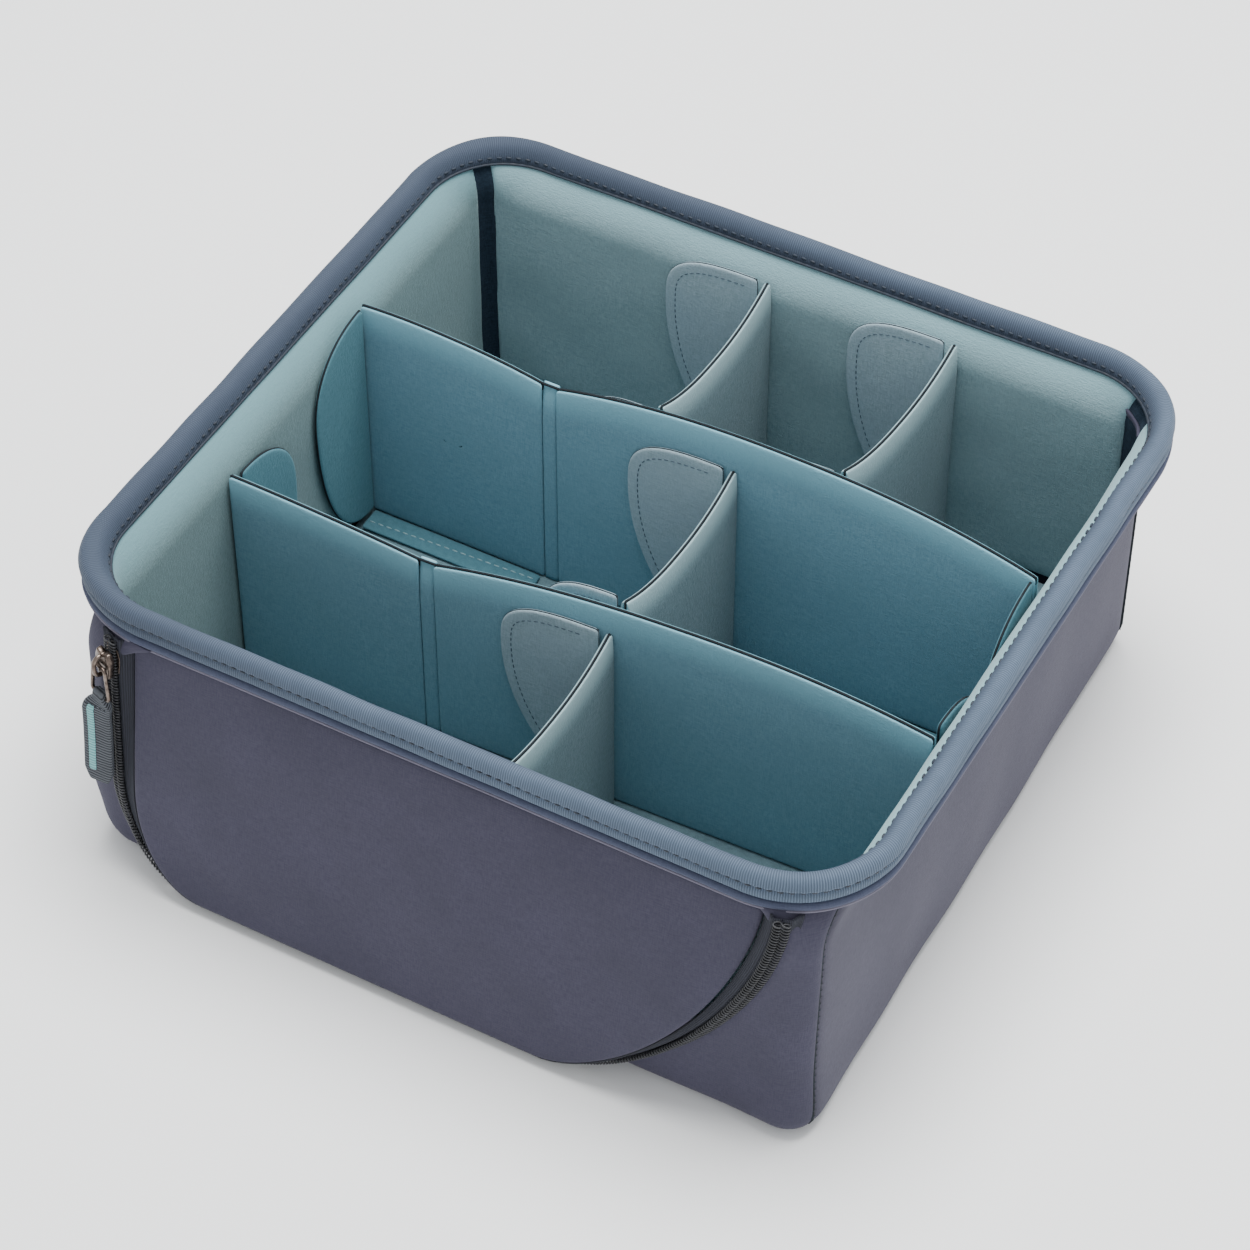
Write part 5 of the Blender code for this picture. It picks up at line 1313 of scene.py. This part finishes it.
def buildSlider():
    # Two cast plates with turned-down flanges, a wedge between them, and the bridge for the ring
    half, reach = slider["half"], slider["reach"]
    corner = np.array([(-3.0, -reach), (3.0, -reach), (half - 0.2, -1.0), (half, 2.2), (2.9, reach),
                       (0.9, reach - 0.4), (0.0, reach - 1.5), (-0.9, reach - 0.4), (-2.9, reach), (-half, 2.2),
                       (0.2 - half, -1.0)])
    outline = evenly(corner, 0.8)
    plates = []
    for level, thick, turn in ((1.95, 0.85, 1.1), (5.9, 0.5, -0.4)):
        rings = [(0, 0, thick), (0.5, 0, thick), (0.8, 0, thick * 0.92), (0.93, 0, thick * 0.7), (1, 0, thick * 0.2),
                 (1, 0, -thick * 0.6 - turn), (1, 0.5, -thick * 0.7 - turn), (1, 0.8, -thick), (0, 0, -thick)]
        flat, lift = coreRings(outline, ((0, -2.5), (0, 1.5)), rings)
        points = onSlider(stack(flat[..., 0], level - lift, flat[..., 1]))
        plates.append(gridMesh("sliderPlate", points, gunmetal, closeU=True, weld=True))
    angle = np.linspace(0, math.pi, 15)
    arch = stack(0 * angle, 1.6 - slider["bridgeTall"] * np.sin(angle) ** 0.55, slider["bridgeReach"] * np.cos(angle))
    bridge = tubeAlong("sliderBridge", onSlider(arch), slider["bridge"], gunmetal, sides=10, lean=pull["across"])
    wedge = tubeAlong("sliderWedge", onSlider([(0, 1.9, 3.4), (0, 3.5, 3.2), (0, 5.6, 3.0)]), slider["wedge"],
                      gunmetal, sides=8)
    cast = newObject("zipSlider", joinPieces("zipSlider", plates + [bridge, wedge]))
    cast.data.materials.append(gunmetal)
    cast.data.shade_smooth()
    settle(cast, "slider", "zip_slider", "gunmetal", 1)

    wide, drop = pull["ring"]
    turn = np.linspace(0, math.pi / 2, 7)[:-1]
    corners = []
    for k, (x, z, radius) in enumerate(((wide, -drop, 1.3), (3.4, 0.0, 1.6), (-3.4, 0.0, 1.6), (-wide, -drop, 1.3))):
        centre = (x - math.copysign(radius, x), z - math.copysign(radius, z + 1))
        start = (-0.5, 0.0, 0.5, 1.0)[k] * math.pi
        corners.append(stack(centre[0] + radius * np.cos(start + turn), 0 * turn,
                             centre[1] + radius * np.sin(start + turn)))
    ring = evenly(np.concatenate(corners), 0.7)
    link = tubeAlong("pullLink", onSlider(ring), pull["wire"], gunmetal, True, 10, lean=pull["inward"])
    settle(link, "link", "pull_link", "gunmetal")


def buildWebbing():
    # A strap folded round the ring's lower bar: its section across the width is carried down the
    # strap, wide from the shoulder on and tapered at the tip
    length, half, neck = pull["length"], pull["width"] / 2, pull["neck"] / 2
    down = np.array([-1.95, -1.7, -1.2, -0.5, 0.3, 1.2, 2.0, 3.2, 4.6, 6.0, *np.linspace(8, length - 5, 22),
                     length - 4.4, length - 3.0, length - 1.4, length - 0.5, length - 0.1])
    wide = np.interp(down, [-2, -1, 1.5, 4.6, length - 5, length - 1.0, length],
                     [neck - 0.3, neck, neck + 0.4, half, half, 3.9, 3.3])
    thick = np.interp(down, [-1.95, -1.7, -1.2, -0.5, 0.3, 1.2, 2.2, 4.5, 7, length - 1, length],
                      [0.35, 0.95, 1.55, 1.85, 1.95, 1.85, 1.55, 1.15, 1.02, 1.0, 0.7])
    angle = np.linspace(0, 2 * math.pi, 40, endpoint=False)
    x = squarer(np.cos(angle), 0.28)
    y = squarer(np.sin(angle), 0.4)

    def bow(down):
        return pull["bow"] * np.sin((down + 2) / (length + 2) * math.pi * 1.4)

    body = stack(x * wide[:, None], y * thick[:, None] + bow(down)[:, None], -down[:, None])
    uv = stack(x * wide[:, None], down[:, None] + 0.8 * y * thick[:, None])
    strap = gridMesh("webbingPull", onStrap(body), pullWebbing, uv=uv, closeV=True, caps=True,
                     outward=True)
    settle(strap, "pull", "webbing_pull", "webbing", 1)
    down = np.linspace(5.5, length - 5.2, 34)
    ring = np.linspace(0, 2 * math.pi, 12, endpoint=False)
    wave = 0.1 * np.cos(down * 2 * math.pi / 2.3)
    face = np.interp(down, [1.2, 2.2, 4.5, 7, length], [1.85, 1.55, 1.15, 1.02, 1.0])
    body = stack(pull["stripe"] * np.cos(ring) + pull["stripeAt"],
                 (bow(down) - face - 0.12 + wave)[:, None] + pull["stripeThick"] * np.sin(ring), -down[:, None])
    stripe = gridMesh("pullStripe", onStrap(body), pullStripe, closeV=True, caps=True, outward=True,
                      uv=stack(0 * ring, down[:, None]))
    settle(stripe, "pull", "pull_stripe", "stripe", 1)
    spots = np.linspace(-3.8, 3.8, 5)
    for row, level in enumerate((5.0, length - 6.5)):
        place = onStrap(stack(spots, -1.2 + 0.3 * row, -level))
        ways = np.tile(pull["across"], (5, 1))
        faces = np.tile(np.array(pull["inward"]) * -1, (5, 1))
        settle(stitchRow("pullStitches%d" % row, place, ways, faces, 1.4, 0.4, stitchThread), "pull", (), "webbing")


buildFlap()
buildZip()
buildSlider()
buildWebbing()
swell(swellJobs)
print("door and zip done")


# ---- floor, light and camera

studio = dict(size=6.0, paper="f4f5f5", sky="f4f6f8", skyPower=1.1, aim=(0.0, 0.0, 0.05))
lamps = (("keyLight", (0.03, 0.22, 1.6), 1.1, 50.0), ("sideLight", (1.6, 0.05, 0.05), 0.24, 4.5))


def buildStage():
    # A pale paper floor under a soft sky, a broad lamp above and a small low one on the right
    board = bpy.data.meshes.new("floorBoard")
    size = studio["size"]
    board.from_pydata([(-size, -size, 0), (size, -size, 0), (size, size, 0), (-size, size, 0)], [], [(0, 1, 2, 3)])
    paper = newObject("studioFloor", board)
    white, _, shader = newMaterial("pale studio paper", 0.9, specular=0.1)
    shader.inputs["Base Color"].default_value = hexColour(studio["paper"])
    board.materials.append(white)
    world = bpy.data.worlds.new("softStudio")
    world.use_nodes = True
    sky = world.node_tree.nodes["Background"]
    sky.inputs[0].default_value = hexColour(studio["sky"])
    sky.inputs[1].default_value = studio["skyPower"]
    bpy.context.scene.world = world
    for name, spot, size, power in lamps:
        light = bpy.data.lights.new(name, "AREA")
        light.shape = "DISK"
        light.size = size
        light.energy = power
        lamp = newObject(name, light)
        lamp.location = spot
        lamp.rotation_euler = (Vector(studio["aim"]) - Vector(spot)).to_track_quat("-Z", "Y").to_euler()


def buildCamera(azimuth=28.91, elevation=46.47, roll=0.09, distance=1.3095, aim=(0.0204, -0.0466, 0.1027)):
    # The camera that the photograph's rim and upright edges were fitted to: its place round the
    # insert and above it, its turn about its own axis, and the point it looks at
    azimuth, elevation = math.radians(azimuth), math.radians(elevation)
    back = Vector((math.sin(azimuth) * math.cos(elevation), -math.cos(azimuth) * math.cos(elevation),
                   math.sin(elevation)))
    right = Vector((math.cos(azimuth), math.sin(azimuth), 0))
    up = back.cross(right)
    lens = bpy.data.cameras.new("photoLens")
    lens.lens = 115.2
    lens.sensor_width = 36.0
    camera = newObject("photoCamera", lens)
    pose = Matrix((right, up, back)).transposed().to_4x4()
    pose.translation = Vector(aim) + back * distance
    camera.matrix_world = pose @ Matrix.Rotation(math.radians(roll), 4, "Z")
    bpy.context.scene.camera = camera


buildStage()
buildCamera()
bpy.context.view_layer.update()
print("stage, light and camera set")
